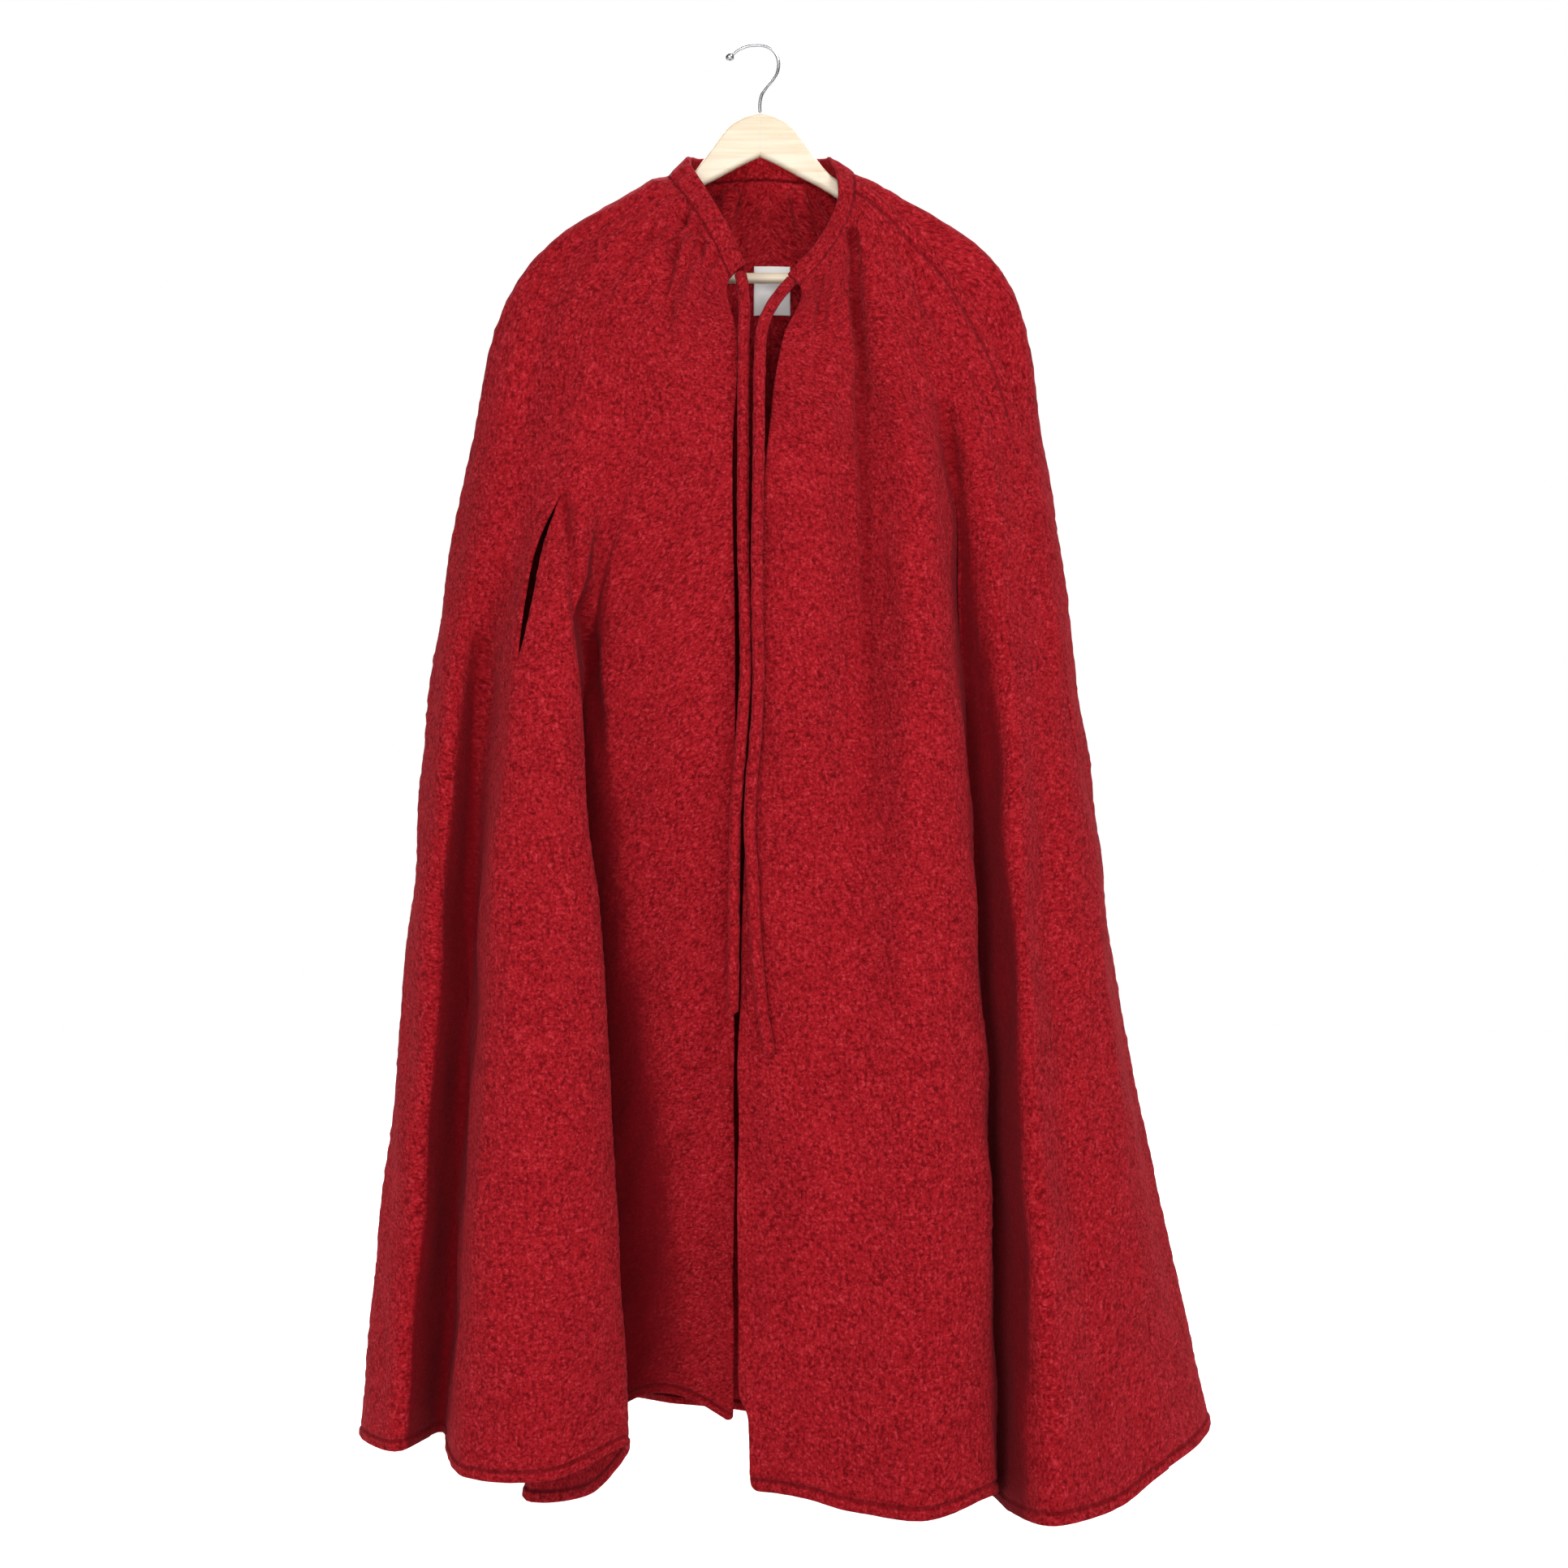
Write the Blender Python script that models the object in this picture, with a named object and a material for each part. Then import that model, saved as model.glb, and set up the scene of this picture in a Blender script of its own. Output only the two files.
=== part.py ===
"""Wool cape on a wooden hanger: the construction solids.

Metres, +Z up, +X to the viewer's right, -Y towards the viewer. The origin is the point
under the top of the hanger's hook that rests on a rail. Left and right are the wearer's.

The cape is one surface, cloth(u, v). Across it, u runs along the row of folds, from the
wearer's right front edge round the back to the left front edge. Down it, v runs from the
top of the neckband to the hem. Each panel is a stretch of u, made into a closed wall.
"""
import math
from collections import namedtuple

import bmesh
import bpy
import numpy as np

# Cloth
CLOTH = 0.0030              # one layer of the thick wool
BAND_CLOTH = 0.0056         # the neckband is doubled
HEM_CLOTH = 0.0050          # the turned-up hem stands out by this much in all
HEM_TURN = 0.0095           # height of the turned-up hem
SEAM_GAP = 0.0003           # between pieces that are sewn together
SEAM_RISE = 0.0012          # the welt beside the front shoulder seam
SEAM_WELT = 0.010           # its width
SLIT_GAP = 0.0095           # the arm slit's greatest opening
SLIT_SPREAD = 3             # columns on each side that bend round it
SLIT_BOW = 0.006            # how far the slit's middle curves away from the front edge

# The neck edge, from the right front end round the back to the left front end: the
# gathered seam, and the top edge of the band above it
NeckPoint = namedtuple("NeckPoint", "seam_x seam_y seam_z top_x top_y top_z")
NECK = (
    NeckPoint(-0.022, -0.063, -0.228, -0.008, -0.056, -0.214),
    NeckPoint(-0.039, -0.052, -0.190, -0.022, -0.046, -0.181),
    NeckPoint(-0.061, -0.033, -0.152, -0.043, -0.029, -0.142),
    NeckPoint(-0.080, -0.004, -0.122, -0.061, -0.002, -0.106),
    NeckPoint(-0.062, 0.030, -0.121, -0.050, 0.027, -0.099),
    NeckPoint(0.006, 0.048, -0.115, 0.006, 0.044, -0.091),
    NeckPoint(0.073, 0.030, -0.121, 0.061, 0.027, -0.099),
    NeckPoint(0.090, -0.004, -0.119, 0.072, -0.002, -0.107),
    NeckPoint(0.090, -0.033, -0.158, 0.077, -0.028, -0.148),
    NeckPoint(0.072, -0.050, -0.197, 0.061, -0.045, -0.186),
    NeckPoint(0.042, -0.060, -0.235, 0.031, -0.054, -0.223),
)

# The heights of the sections below the shoulder
CHEST_Z = -0.38
ELBOW_Z = -0.55
KNEE_Z = -0.95

# The folds, in order from the right front edge. "neck" is the share of the neck edge at
# which a fold starts. Then come its place at the shoulder, and its x and y lower down.
Fold = namedtuple("Fold", "name neck shoulder_x shoulder_y shoulder_z chest_x chest_y "
                          "elbow_x elbow_y knee_x knee_y hem_x hem_y hem_z")
RIGHT_FOLDS = (
    Fold("right_edge", 0.000, -0.015, -0.070, -0.283, -0.019, -0.082, -0.017, -0.082,
         -0.018, -0.078, -0.019, -0.062, -1.275),
    Fold("right_front", 0.045, -0.045, -0.066, -0.271, -0.049, -0.080, -0.062, -0.080,
         -0.053, -0.066, -0.050, -0.046, -1.260),
    Fold("right_recess", 0.085, -0.070, -0.060, -0.259, -0.086, -0.077, -0.121, -0.066,
         -0.100, -0.046, -0.098, -0.020, -1.256),
    Fold("right_valley", 0.110, -0.087, -0.056, -0.251, -0.109, -0.073, -0.150, -0.050,
         -0.178, -0.004, -0.216, 0.004, -1.360),
    Fold("right_under", 0.127, -0.101, -0.052, -0.245, -0.125, -0.073, -0.158, -0.066,
         -0.160, -0.050, -0.150, -0.050, -1.342),
    Fold("right_fold_edge", 0.143, -0.114, -0.048, -0.239, -0.138, -0.074, -0.155, -0.090,
         -0.130, -0.096, -0.114, -0.092, -1.288),
    Fold("right_fold", 0.158, -0.127, -0.045, -0.236, -0.148, -0.075, -0.171, -0.105,
         -0.172, -0.132, -0.178, -0.138, -1.307),
    Fold("right_slit", 0.190, -0.140, -0.040, -0.232, -0.163, -0.074, -0.206, -0.098,
         -0.238, -0.118, -0.260, -0.120, -1.308),
    Fold("right_trough", 0.205, -0.169, -0.032, -0.224, -0.204, -0.058, -0.243, -0.055,
         -0.266, -0.038, -0.290, -0.032, -1.289),
    Fold("right_crest", 0.226, -0.194, -0.020, -0.218, -0.237, -0.048, -0.268, -0.062,
         -0.298, -0.076, -0.323, -0.082, -1.295),
    Fold("right_side_front", 0.255, -0.213, -0.008, -0.213, -0.263, -0.016, -0.292, -0.020,
         -0.330, -0.026, -0.364, -0.028, -1.295),
    Fold("right_side_back", 0.292, -0.213, 0.008, -0.213, -0.263, 0.006, -0.291, 0.008,
         -0.328, 0.010, -0.363, 0.010, -1.297),
    Fold("right_seam", 0.318, -0.209, 0.020, -0.217, -0.258, 0.024, -0.283, 0.030,
         -0.320, 0.040, -0.348, 0.046, -1.305),
)
LEFT_FOLDS = (
    Fold("left_side_back", 0.690, 0.229, 0.008, -0.209, 0.272, 0.010, 0.295, 0.010,
         0.352, 0.008, 0.426, 0.000, -1.290),
    Fold("left_side_front", 0.722, 0.226, -0.008, -0.213, 0.267, -0.006, 0.291, -0.008,
         0.346, -0.016, 0.410, -0.030, -1.301),
    Fold("left_seam", 0.748, 0.200, -0.018, -0.242, 0.254, -0.022, 0.281, -0.030,
         0.331, -0.054, 0.376, -0.070, -1.314),
    Fold("left_shallow", 0.768, 0.182, -0.030, -0.246, 0.230, -0.038, 0.252, -0.056,
         0.280, -0.094, 0.323, -0.112, -1.340),
    Fold("left_crest", 0.783, 0.165, -0.037, -0.249, 0.211, -0.050, 0.226, -0.072,
         0.247, -0.120, 0.266, -0.146, -1.346),
    Fold("left_wall", 0.796, 0.152, -0.042, -0.252, 0.196, -0.050, 0.208, -0.057,
         0.232, -0.088, 0.242, -0.118, -1.347),
    Fold("left_valley", 0.807, 0.141, -0.046, -0.255, 0.180, -0.042, 0.189, -0.043,
         0.211, -0.038, 0.221, -0.050, -1.345),
    Fold("left_fold_edge", 0.818, 0.130, -0.050, -0.257, 0.169, -0.058, 0.179, -0.080,
         0.204, -0.100, 0.213, -0.114, -1.327),
    Fold("left_fold", 0.832, 0.114, -0.056, -0.261, 0.139, -0.078, 0.144, -0.100,
         0.146, -0.134, 0.152, -0.150, -1.340),
    Fold("left_trough", 0.854, 0.093, -0.051, -0.265, 0.100, -0.057, 0.102, -0.070,
         0.096, -0.118, 0.092, -0.134, -1.337),
    Fold("left_front", 0.915, 0.064, -0.066, -0.273, 0.063, -0.082, 0.055, -0.094,
         0.041, -0.112, 0.041, -0.120, -1.327),
    Fold("left_edge", 1.000, 0.027, -0.068, -0.282, 0.013, -0.082, 0.002, -0.088,
         -0.014, -0.090, -0.011, -0.097, -1.326),
)

# The back hangs in even waves between the two sides: each row is the share of the way
# across, and how far the wave stands out behind at the hem
BackFold = namedtuple("BackFold", "name across depth hem_drop")
BACK_FOLDS = (
    BackFold("back_1", 0.080, 0.040, 0.000),
    BackFold("back_2", 0.170, -0.028, -0.006),
    BackFold("back_3", 0.265, 0.046, 0.004),
    BackFold("back_4", 0.355, -0.034, 0.016),
    BackFold("back_5", 0.440, 0.032, -0.006),
    BackFold("back_centre", 0.510, -0.022, -0.004),
    BackFold("back_7", 0.590, 0.044, 0.003),
    BackFold("back_8", 0.680, -0.036, -0.005),
    BackFold("back_9", 0.775, 0.048, 0.005),
    BackFold("back_10", 0.860, -0.028, -0.004),
    BackFold("back_11", 0.935, 0.026, 0.000),
)
# The back between the sides, from the shoulder to the hem
BackLevel = namedtuple("BackLevel", "right_x left_x y z wave")
BACK_SHOULDER = BackLevel(-0.205, 0.225, 0.032, -0.232, 0.05)
BACK_CHEST = BackLevel(-0.256, 0.270, 0.044, CHEST_Z, 0.20)
BACK_ELBOW = BackLevel(-0.282, 0.292, 0.050, ELBOW_Z, 0.40)
BACK_KNEE = BackLevel(-0.318, 0.348, 0.064, KNEE_Z, 0.80)
BACK_HEM = BackLevel(-0.346, 0.420, 0.078, -1.296, 1.00)

# Small gathers under the neckband: the share of the neck edge, half the width as such a
# share, how deep the groove is, and how far down it fades
Gather = namedtuple("Gather", "neck half depth fade")
GATHERS = (
    Gather(0.022, 0.007, 0.0020, 0.050),
    Gather(0.055, 0.007, 0.0030, 0.080),
    Gather(0.092, 0.009, 0.0050, 0.120),
    Gather(0.130, 0.008, 0.0045, 0.110),
    Gather(0.168, 0.009, 0.0025, 0.060),
    Gather(0.272, 0.045, -0.0075, 0.085),       # not a groove: the shoulder stands up a little
    Gather(0.345, 0.012, 0.0030, 0.070),
    Gather(0.390, 0.012, 0.0040, 0.100),
    Gather(0.440, 0.012, 0.0035, 0.080),
    Gather(0.480, 0.010, 0.0030, 0.070),
    Gather(0.560, 0.012, 0.0040, 0.090),
    Gather(0.610, 0.012, 0.0035, 0.100),
    Gather(0.655, 0.011, 0.0030, 0.070),
    Gather(0.748, 0.040, -0.0040, 0.085),       # and the other shoulder
    Gather(0.852, 0.009, 0.0060, 0.200),
    Gather(0.882, 0.009, 0.0035, 0.090),
    Gather(0.925, 0.009, 0.0045, 0.110),
    Gather(0.962, 0.008, 0.0030, 0.070),
)

# The label, on the inside of the back just under the band
LABEL_WIDTH = 0.034
LABEL_HEIGHT = 0.042
LABEL_CLOTH = 0.0008
LABEL_TOP = 0.101           # distance of its top edge down the cloth
LABEL_X = 0.016             # its middle

# The hanger: two flat arms of pale wood, joined at the middle, with a round bar
HANGER_X = 0.005            # the middle
JOINT_GAP = 0.0003
ARM_THICK = 0.012
ARM_EDGE = 0.005            # radius of its rounded edges
ARM_DROP_RIGHT = 0.0011     # each arm's top, lower than the sections say, just under the cloth
ARM_DROP_LEFT = -0.0026
BAR_RADIUS = 0.005
BAR_Z = -0.2165
BAR_REACH = 0.1880          # from the middle to each end, where it stops against the arm
HangerSection = namedtuple("HangerSection", "out top bottom")
HANGER = (
    HangerSection(0.0000, -0.0616, -0.1030),
    HangerSection(0.0150, -0.0660, -0.1100),
    HangerSection(0.0300, -0.0755, -0.1180),
    HangerSection(0.0420, -0.0915, -0.1245),
    HangerSection(0.0530, -0.1060, -0.1300),
    HangerSection(0.0640, -0.1195, -0.1365),
    HangerSection(0.0850, -0.1330, -0.1510),
    HangerSection(0.1100, -0.1430, -0.1660),
    HangerSection(0.1400, -0.1570, -0.1830),
    HangerSection(0.1650, -0.1710, -0.1970),
    HangerSection(0.1880, -0.1860, -0.2095),
    HangerSection(0.1920, -0.1890, -0.2330),
    HangerSection(0.2040, -0.1990, -0.2335),
    HangerSection(0.2110, -0.2080, -0.2320),
    HangerSection(0.2150, -0.2160, -0.2290),
)

# The hook: bent steel wire, hung by the inside of its top
WIRE_RADIUS = 0.0015
BALL_RADIUS = 0.0040
RoutePoint = namedtuple("RoutePoint", "x y z")
HOOK_ROUTE = (
    RoutePoint(0.0050, 0.0, -0.0612), RoutePoint(0.0052, 0.0, -0.0505), RoutePoint(0.0068, 0.0, -0.0445),
    RoutePoint(0.0110, 0.0, -0.0380), RoutePoint(0.0172, 0.0, -0.0304), RoutePoint(0.0212, 0.0, -0.0235),
    RoutePoint(0.0224, 0.0, -0.0152), RoutePoint(0.0203, 0.0, -0.0074), RoutePoint(0.0155, 0.0, -0.0020),
    RoutePoint(0.0085, 0.0, 0.0010), RoutePoint(0.0000, 0.0, 0.0015), RoutePoint(-0.0085, 0.0, 0.0002),
    RoutePoint(-0.0155, 0.0, -0.0030), RoutePoint(-0.0205, 0.0, -0.0070),
)
BALL_GAP = 0.0003

# The ties: round rouleau cords of the same wool, one from each end of the band
TIE_RADIUS = 0.0055
TIE_RIGHT_ROUTE = (
    RoutePoint(-0.0124, -0.0609, -0.2236), RoutePoint(-0.0106, -0.0640, -0.2330),
    RoutePoint(-0.0090, -0.0700, -0.2500), RoutePoint(-0.0090, -0.0775, -0.2850),
    RoutePoint(-0.0095, -0.0830, -0.3300),
    RoutePoint(-0.0095, -0.0850, -0.3900), RoutePoint(-0.0098, -0.0870, -0.4500),
    RoutePoint(-0.0090, -0.0900, -0.5000), RoutePoint(-0.0075, -0.0940, -0.5500),
    RoutePoint(-0.0080, -0.0970, -0.6050), RoutePoint(-0.0120, -0.0975, -0.6600),
    RoutePoint(-0.0160, -0.0970, -0.7150), RoutePoint(-0.0175, -0.0965, -0.7700),
    RoutePoint(-0.0180, -0.0965, -0.8300), RoutePoint(-0.0190, -0.0965, -0.8980),
)
TIE_LEFT_ROUTE = (
    RoutePoint(0.0341, -0.0575, -0.2292), RoutePoint(0.0285, -0.0603, -0.2362),
    RoutePoint(0.0220, -0.0660, -0.2450), RoutePoint(0.0150, -0.0745, -0.2570),
    RoutePoint(0.0090, -0.0835, -0.2720), RoutePoint(0.0060, -0.0890, -0.2950),
    RoutePoint(0.0050, -0.0930, -0.3300), RoutePoint(0.0045, -0.0945, -0.3900),
    RoutePoint(0.0035, -0.0965, -0.4500), RoutePoint(0.0030, -0.0985, -0.5100),
    RoutePoint(0.0040, -0.1000, -0.5700), RoutePoint(0.0035, -0.1010, -0.6250),
    RoutePoint(-0.0020, -0.1020, -0.6900), RoutePoint(-0.0035, -0.1030, -0.7200),
    RoutePoint(-0.0005, -0.1045, -0.7800), RoutePoint(0.0035, -0.1060, -0.8500),
    RoutePoint(0.0090, -0.1080, -0.9000), RoutePoint(0.0150, -0.1100, -0.9350),
)
ROUTE_STEP = 0.026          # between the points of a tie's tube

# Distance down the cloth of each level, from the top edge of the band
V_TOP, V_NECK, V_SHOULDER, V_CHEST, V_ELBOW, V_KNEE, V_HEM = 0.0, 0.023, 0.13, 0.26, 0.43, 0.83, 1.18
V_KNOTS = np.array([V_TOP, V_NECK, V_SHOULDER, V_CHEST, V_ELBOW, V_KNEE, V_HEM])
SLIT_TOP, SLIT_FOOT = 0.304, 0.455      # of the arm slits
PANEL_ROWS = (0.034, 0.048, 0.070, 0.098, V_SHOULDER, 0.162, 0.195, 0.228, V_CHEST, 0.288, SLIT_TOP,
              0.345, 0.385, 0.425, SLIT_FOOT, 0.505, 0.58, 0.66, 0.745, V_KNEE, 0.92, 1.01, 1.095)
COLUMN_STEP = 0.026         # greatest distance between columns at the hem


def hermite(knots, points, where):
    """The curve through points[i] at knots[i], read at "where".

    Each piece is the cubic with ends p0, p1 and slopes m0, m1, where the slope at a
    point is the mean of the two slopes beside it, each weighted by the other's length.
    """
    steps = np.diff(knots)
    rise = np.diff(points, axis=0) / steps[:, None]
    slope = np.empty_like(points)
    before, after = steps[:-1, None], steps[1:, None]
    slope[1:-1] = (rise[:-1] * after + rise[1:] * before) / (before + after)
    slope[0] = 1.5 * rise[0] - 0.5 * slope[1]
    slope[-1] = 1.5 * rise[-1] - 0.5 * slope[-2]
    index = np.clip(np.searchsorted(knots, where, side="right") - 1, 0, len(steps) - 1)
    width = steps[index][:, None]
    t = (where - knots[index])[:, None] / width
    p0, p1, m0, m1 = points[index], points[index + 1], slope[index] * width, slope[index + 1] * width
    return ((1 + 2 * t) * (1 - t) ** 2 * p0 + t * (1 - t) ** 2 * m0
            + t * t * (3 - 2 * t) * p1 + t * t * (t - 1) * m1)


def neck_curves():
    """Share of the neck edge at each row of NECK, and the two curves' points."""
    seam = np.array([[p.seam_x, p.seam_y, p.seam_z] for p in NECK])
    top = np.array([[p.top_x, p.top_y, p.top_z] for p in NECK])
    length = np.linalg.norm(np.diff(seam, axis=0), axis=1)
    share = np.concatenate([[0.0], np.cumsum(length)])
    return share / share[-1], seam, top


def fold_lines():
    """Each fold's name, its share of the neck edge, and its points at the seven levels."""
    share, seam, top = neck_curves()
    first, last = RIGHT_FOLDS[-1].neck, LEFT_FOLDS[0].neck
    names, necks, lines = [], [], []

    def add(name, neck, lower):
        at = np.array([neck])
        names.append(name)
        necks.append(neck)
        lines.append([hermite(share, top, at)[0], hermite(share, seam, at)[0]] + lower)

    def add_front(fold):
        add(fold.name, fold.neck, [np.array(p) for p in (
            (fold.shoulder_x, fold.shoulder_y, fold.shoulder_z),
            (fold.chest_x, fold.chest_y, CHEST_Z),
            (fold.elbow_x, fold.elbow_y, ELBOW_Z),
            (fold.knee_x, fold.knee_y, KNEE_Z),
            (fold.hem_x, fold.hem_y, fold.hem_z))])

    def add_back(fold):
        lower = []
        for level in (BACK_SHOULDER, BACK_CHEST, BACK_ELBOW, BACK_KNEE, BACK_HEM):
            x = level.right_x + fold.across * (level.left_x - level.right_x)
            z = level.z + (fold.hem_drop if level is BACK_HEM else 0.0)
            lower.append(np.array((x, level.y + level.wave * fold.depth, z)))
        add(fold.name, first + fold.across * (last - first), lower)

    for fold in RIGHT_FOLDS:
        add_front(fold)
    for fold in BACK_FOLDS:
        add_back(fold)
    for fold in LEFT_FOLDS:
        add_front(fold)
    return names, np.array(necks), np.array(lines)


NAMES, NECK_SHARES, LINES = fold_lines()
HEM_CHORDS = np.linalg.norm(np.diff(LINES[:, 6], axis=0), axis=1)
KNEE_CHORDS = np.linalg.norm(np.diff(LINES[:, 5], axis=0), axis=1)
U_KNOTS = np.concatenate([[0.0], np.cumsum((0.5 * (HEM_CHORDS + KNEE_CHORDS)) ** 0.8)])
U_KNOTS = U_KNOTS / U_KNOTS[-1]


def u_of(name):
    """The u of a fold."""
    return U_KNOTS[NAMES.index(name)]


def fall(line, v):
    """A fold's line from the band to the hem, smooth in its own length, read at v."""
    steps = np.linalg.norm(np.diff(line, axis=0), axis=1)
    length = np.concatenate([[0.0], np.cumsum(steps)])
    return hermite(length, line, hermite(V_KNOTS, length[:, None], v)[:, 0])


def drape(u, v):
    """The smooth folds: row i is read at u[i, :] and at its own v, which v[i, :] repeats."""
    lines = np.array([fall(line, v[:, 0]) for line in LINES])
    return np.array([hermite(U_KNOTS, lines[:, i], u_row) for i, u_row in enumerate(u)])


def directions(surface, u, v):
    """The surface's unit normals, and its length per unit of u, from points close by."""
    du, dv = 0.0002, 0.0005
    along = (surface(u + du, v) - surface(u - du, v)) / (2 * du)
    down = (surface(u, v + dv) - surface(u, v - dv)) / (2 * dv)
    normal = np.cross(along, down)
    return normal / np.linalg.norm(normal, axis=2, keepdims=True), np.linalg.norm(along, axis=2)


def gather_depth(u, v):
    """Depth of the gathers: grooves of bell section, full just under the band, then fading."""
    neck = np.interp(u, U_KNOTS, NECK_SHARES)
    below = np.clip(v - V_NECK, 0.0, None)
    depth = np.zeros_like(neck)
    for gather in GATHERS:
        bell = np.exp(-((neck - gather.neck) / gather.half) ** 2)
        depth += gather.depth * bell * np.exp(-(below / gather.fade) ** 2)
    start = np.clip(below / 0.014, 0.0, 1.0)
    return depth * start * start * (3 - 2 * start)


def cloth(u, v):
    """The middle of the cloth: the draped folds, less the gathers along the normal."""
    normal, _ = directions(drape, u, v)
    return drape(u, v) - normal * gather_depth(u, v)[:, :, None]


def columns(first, last):
    """Values of u from one fold to another, closer where the folds are narrow."""
    start, stop = NAMES.index(first), NAMES.index(last)
    values = [U_KNOTS[start]]
    for index in range(start, stop):
        count = max(2, math.ceil(HEM_CHORDS[index] / COLUMN_STEP))
        values.extend(np.linspace(U_KNOTS[index], U_KNOTS[index + 1], count + 1)[1:])
    return values


def clear_collections():
    """An empty scene, with one collection for the cape."""
    for old in list(bpy.data.objects):
        bpy.data.objects.remove(old, do_unlink=True)
    collection = bpy.data.collections.new("wool_cape")
    bpy.context.scene.collection.children.link(collection)
    return collection


def material(name, colour, roughness, metallic=0.0):
    """A plain Principled material."""
    made = bpy.data.materials.new(name)
    made.use_nodes = True
    shader = made.node_tree.nodes["Principled BSDF"]
    shader.inputs["Base Color"].default_value = (*colour, 1.0)
    shader.inputs["Roughness"].default_value = roughness
    shader.inputs["Metallic"].default_value = metallic
    return made


def add_object(collection, name, points, faces, finish):
    """A mesh object from points and faces."""
    mesh = bpy.data.meshes.new(name)
    mesh.from_pydata([tuple(p) for p in points], [], faces)
    mesh.materials.append(finish)
    made = bpy.data.objects.new(name, mesh)
    collection.objects.link(made)
    return made


def wall(collection, name, outer, inner, finish, slit=None):
    """A closed wall between two grids of points, outer[row, column] and inner[row, column].

    With slit = (column, rows), the wall is cut between that column and the next on those
    rows, and the two columns are one everywhere else.
    """
    row_count, column_count = outer.shape[:2]
    number = np.arange(row_count * column_count).reshape(row_count, column_count)
    lip = -1
    if slit is not None:
        lip, open_rows = slit
        for row in range(row_count):
            if row not in open_rows:
                number[row, lip + 1] = number[row, lip]
    quads = [(number[r, c], number[r, c + 1], number[r + 1, c + 1], number[r + 1, c])
             for r in range(row_count - 1) for c in range(column_count - 1) if c != lip]
    edges = {(q[i], q[(i + 1) % 4]) for q in quads for i in range(4)}
    shift = row_count * column_count
    rims = [(a, b) for a, b in sorted(edges) if (b, a) not in edges]
    fours = list(quads)
    fours += [tuple(shift + q[i] for i in (0, 3, 2, 1)) for q in quads]
    # pieces that meet at a seam are halved along the same diagonal, so they stay clear
    fours += [(a, shift + a, shift + b, b) if a < b else (b, a, shift + a, shift + b) for a, b in rims]
    faces = [half for a, b, c, d in fours for half in ((a, b, c), (a, c, d))]
    points = np.concatenate([outer.reshape(-1, 3), inner.reshape(-1, 3)])
    used = sorted({i for face in faces for i in face})
    place = {old: new for new, old in enumerate(used)}
    return add_object(collection, name, points[used], [tuple(place[i] for i in f) for f in faces], finish)


def panel(collection, name, first, last, finish, slit_fold=None, slit_bow=0.0, welt_at=None):
    """One panel of the cape between two folds, with its hem, its slit and its seam's welt."""
    hem_rows = (V_HEM - HEM_TURN - 0.003, V_HEM - HEM_TURN, V_HEM)
    rows = np.array((V_NECK + SEAM_GAP / 2,) + PANEL_ROWS + hem_rows)
    u_values = columns(first, last)
    lip = None
    if slit_fold is not None:
        lip = u_values.index(u_of(slit_fold))
        u_values.insert(lip, u_values[lip])
    u = np.repeat(np.array(u_values)[None, :], len(rows), axis=0)
    v = np.repeat(rows[:, None], len(u_values), axis=1)
    _, stretch = directions(cloth, u, v)
    u[:, 0] += SEAM_GAP / 2 / stretch[:, 0]
    u[:, -1] -= SEAM_GAP / 2 / stretch[:, -1]
    slit = None
    if lip is not None:
        share = (rows - SLIT_TOP) / (SLIT_FOOT - SLIT_TOP)
        angle = np.pi * np.clip(share, 0.0, 1.0)
        half = SLIT_GAP / 2 * np.sin(angle)
        bow = slit_bow * (np.sin(angle) + 0.45 * np.sin(2 * angle))
        # the columns beside the lips make way for them
        for beside in range(SLIT_SPREAD):
            share = 1.0 - beside / SLIT_SPREAD
            u[:, lip - beside] += share * (bow - half) / stretch[:, lip - beside]
            u[:, lip + 1 + beside] += share * (bow + half) / stretch[:, lip + 1 + beside]
        slit = (lip, [i for i, value in enumerate(half) if value > 1e-6])
    half_wall = np.full(u.shape, CLOTH / 2)
    half_wall[rows > V_HEM - HEM_TURN - 0.001] = HEM_CLOTH / 2
    welt = np.zeros(u.shape)
    if welt_at is not None:
        edge, beside, next_one = (0, 1, 2) if welt_at == first else (-1, -2, -3)
        reach = 0.6 * (u[:, next_one] - u[:, edge])
        width = np.sign(reach) * SEAM_WELT / stretch[:, edge]
        u[:, beside] = u[:, edge] + np.where(np.abs(reach) < np.abs(width), reach, width)
        from_seam = np.abs(u - u[:, edge][:, None]) * stretch
        welt[from_seam < SEAM_WELT * 1.05] = SEAM_RISE
    normal, _ = directions(cloth, u, v)
    middle = cloth(u, v)
    outer = middle + normal * (half_wall + welt)[:, :, None]
    inner = middle - normal * half_wall[:, :, None]
    return wall(collection, name, outer, inner, finish, slit)


def neckband(collection, finish):
    """The doubled band, above the gathered seam, with the same columns as the panels."""
    rows = np.array((V_TOP, V_NECK * 0.5, V_NECK - SEAM_GAP / 2))
    u_values = sorted(set(columns("right_edge", "left_edge")))
    u = np.repeat(np.array(u_values)[None, :], len(rows), axis=0)
    v = np.repeat(rows[:, None], len(u_values), axis=1)
    normal, _ = directions(cloth, u, v)
    middle = cloth(u, v)
    half = np.array((BAND_CLOTH * 0.30, BAND_CLOTH * 0.5, BAND_CLOTH * 0.40))[:, None, None]
    return wall(collection, "neckband", middle + normal * half, middle - normal * half, finish)


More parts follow.
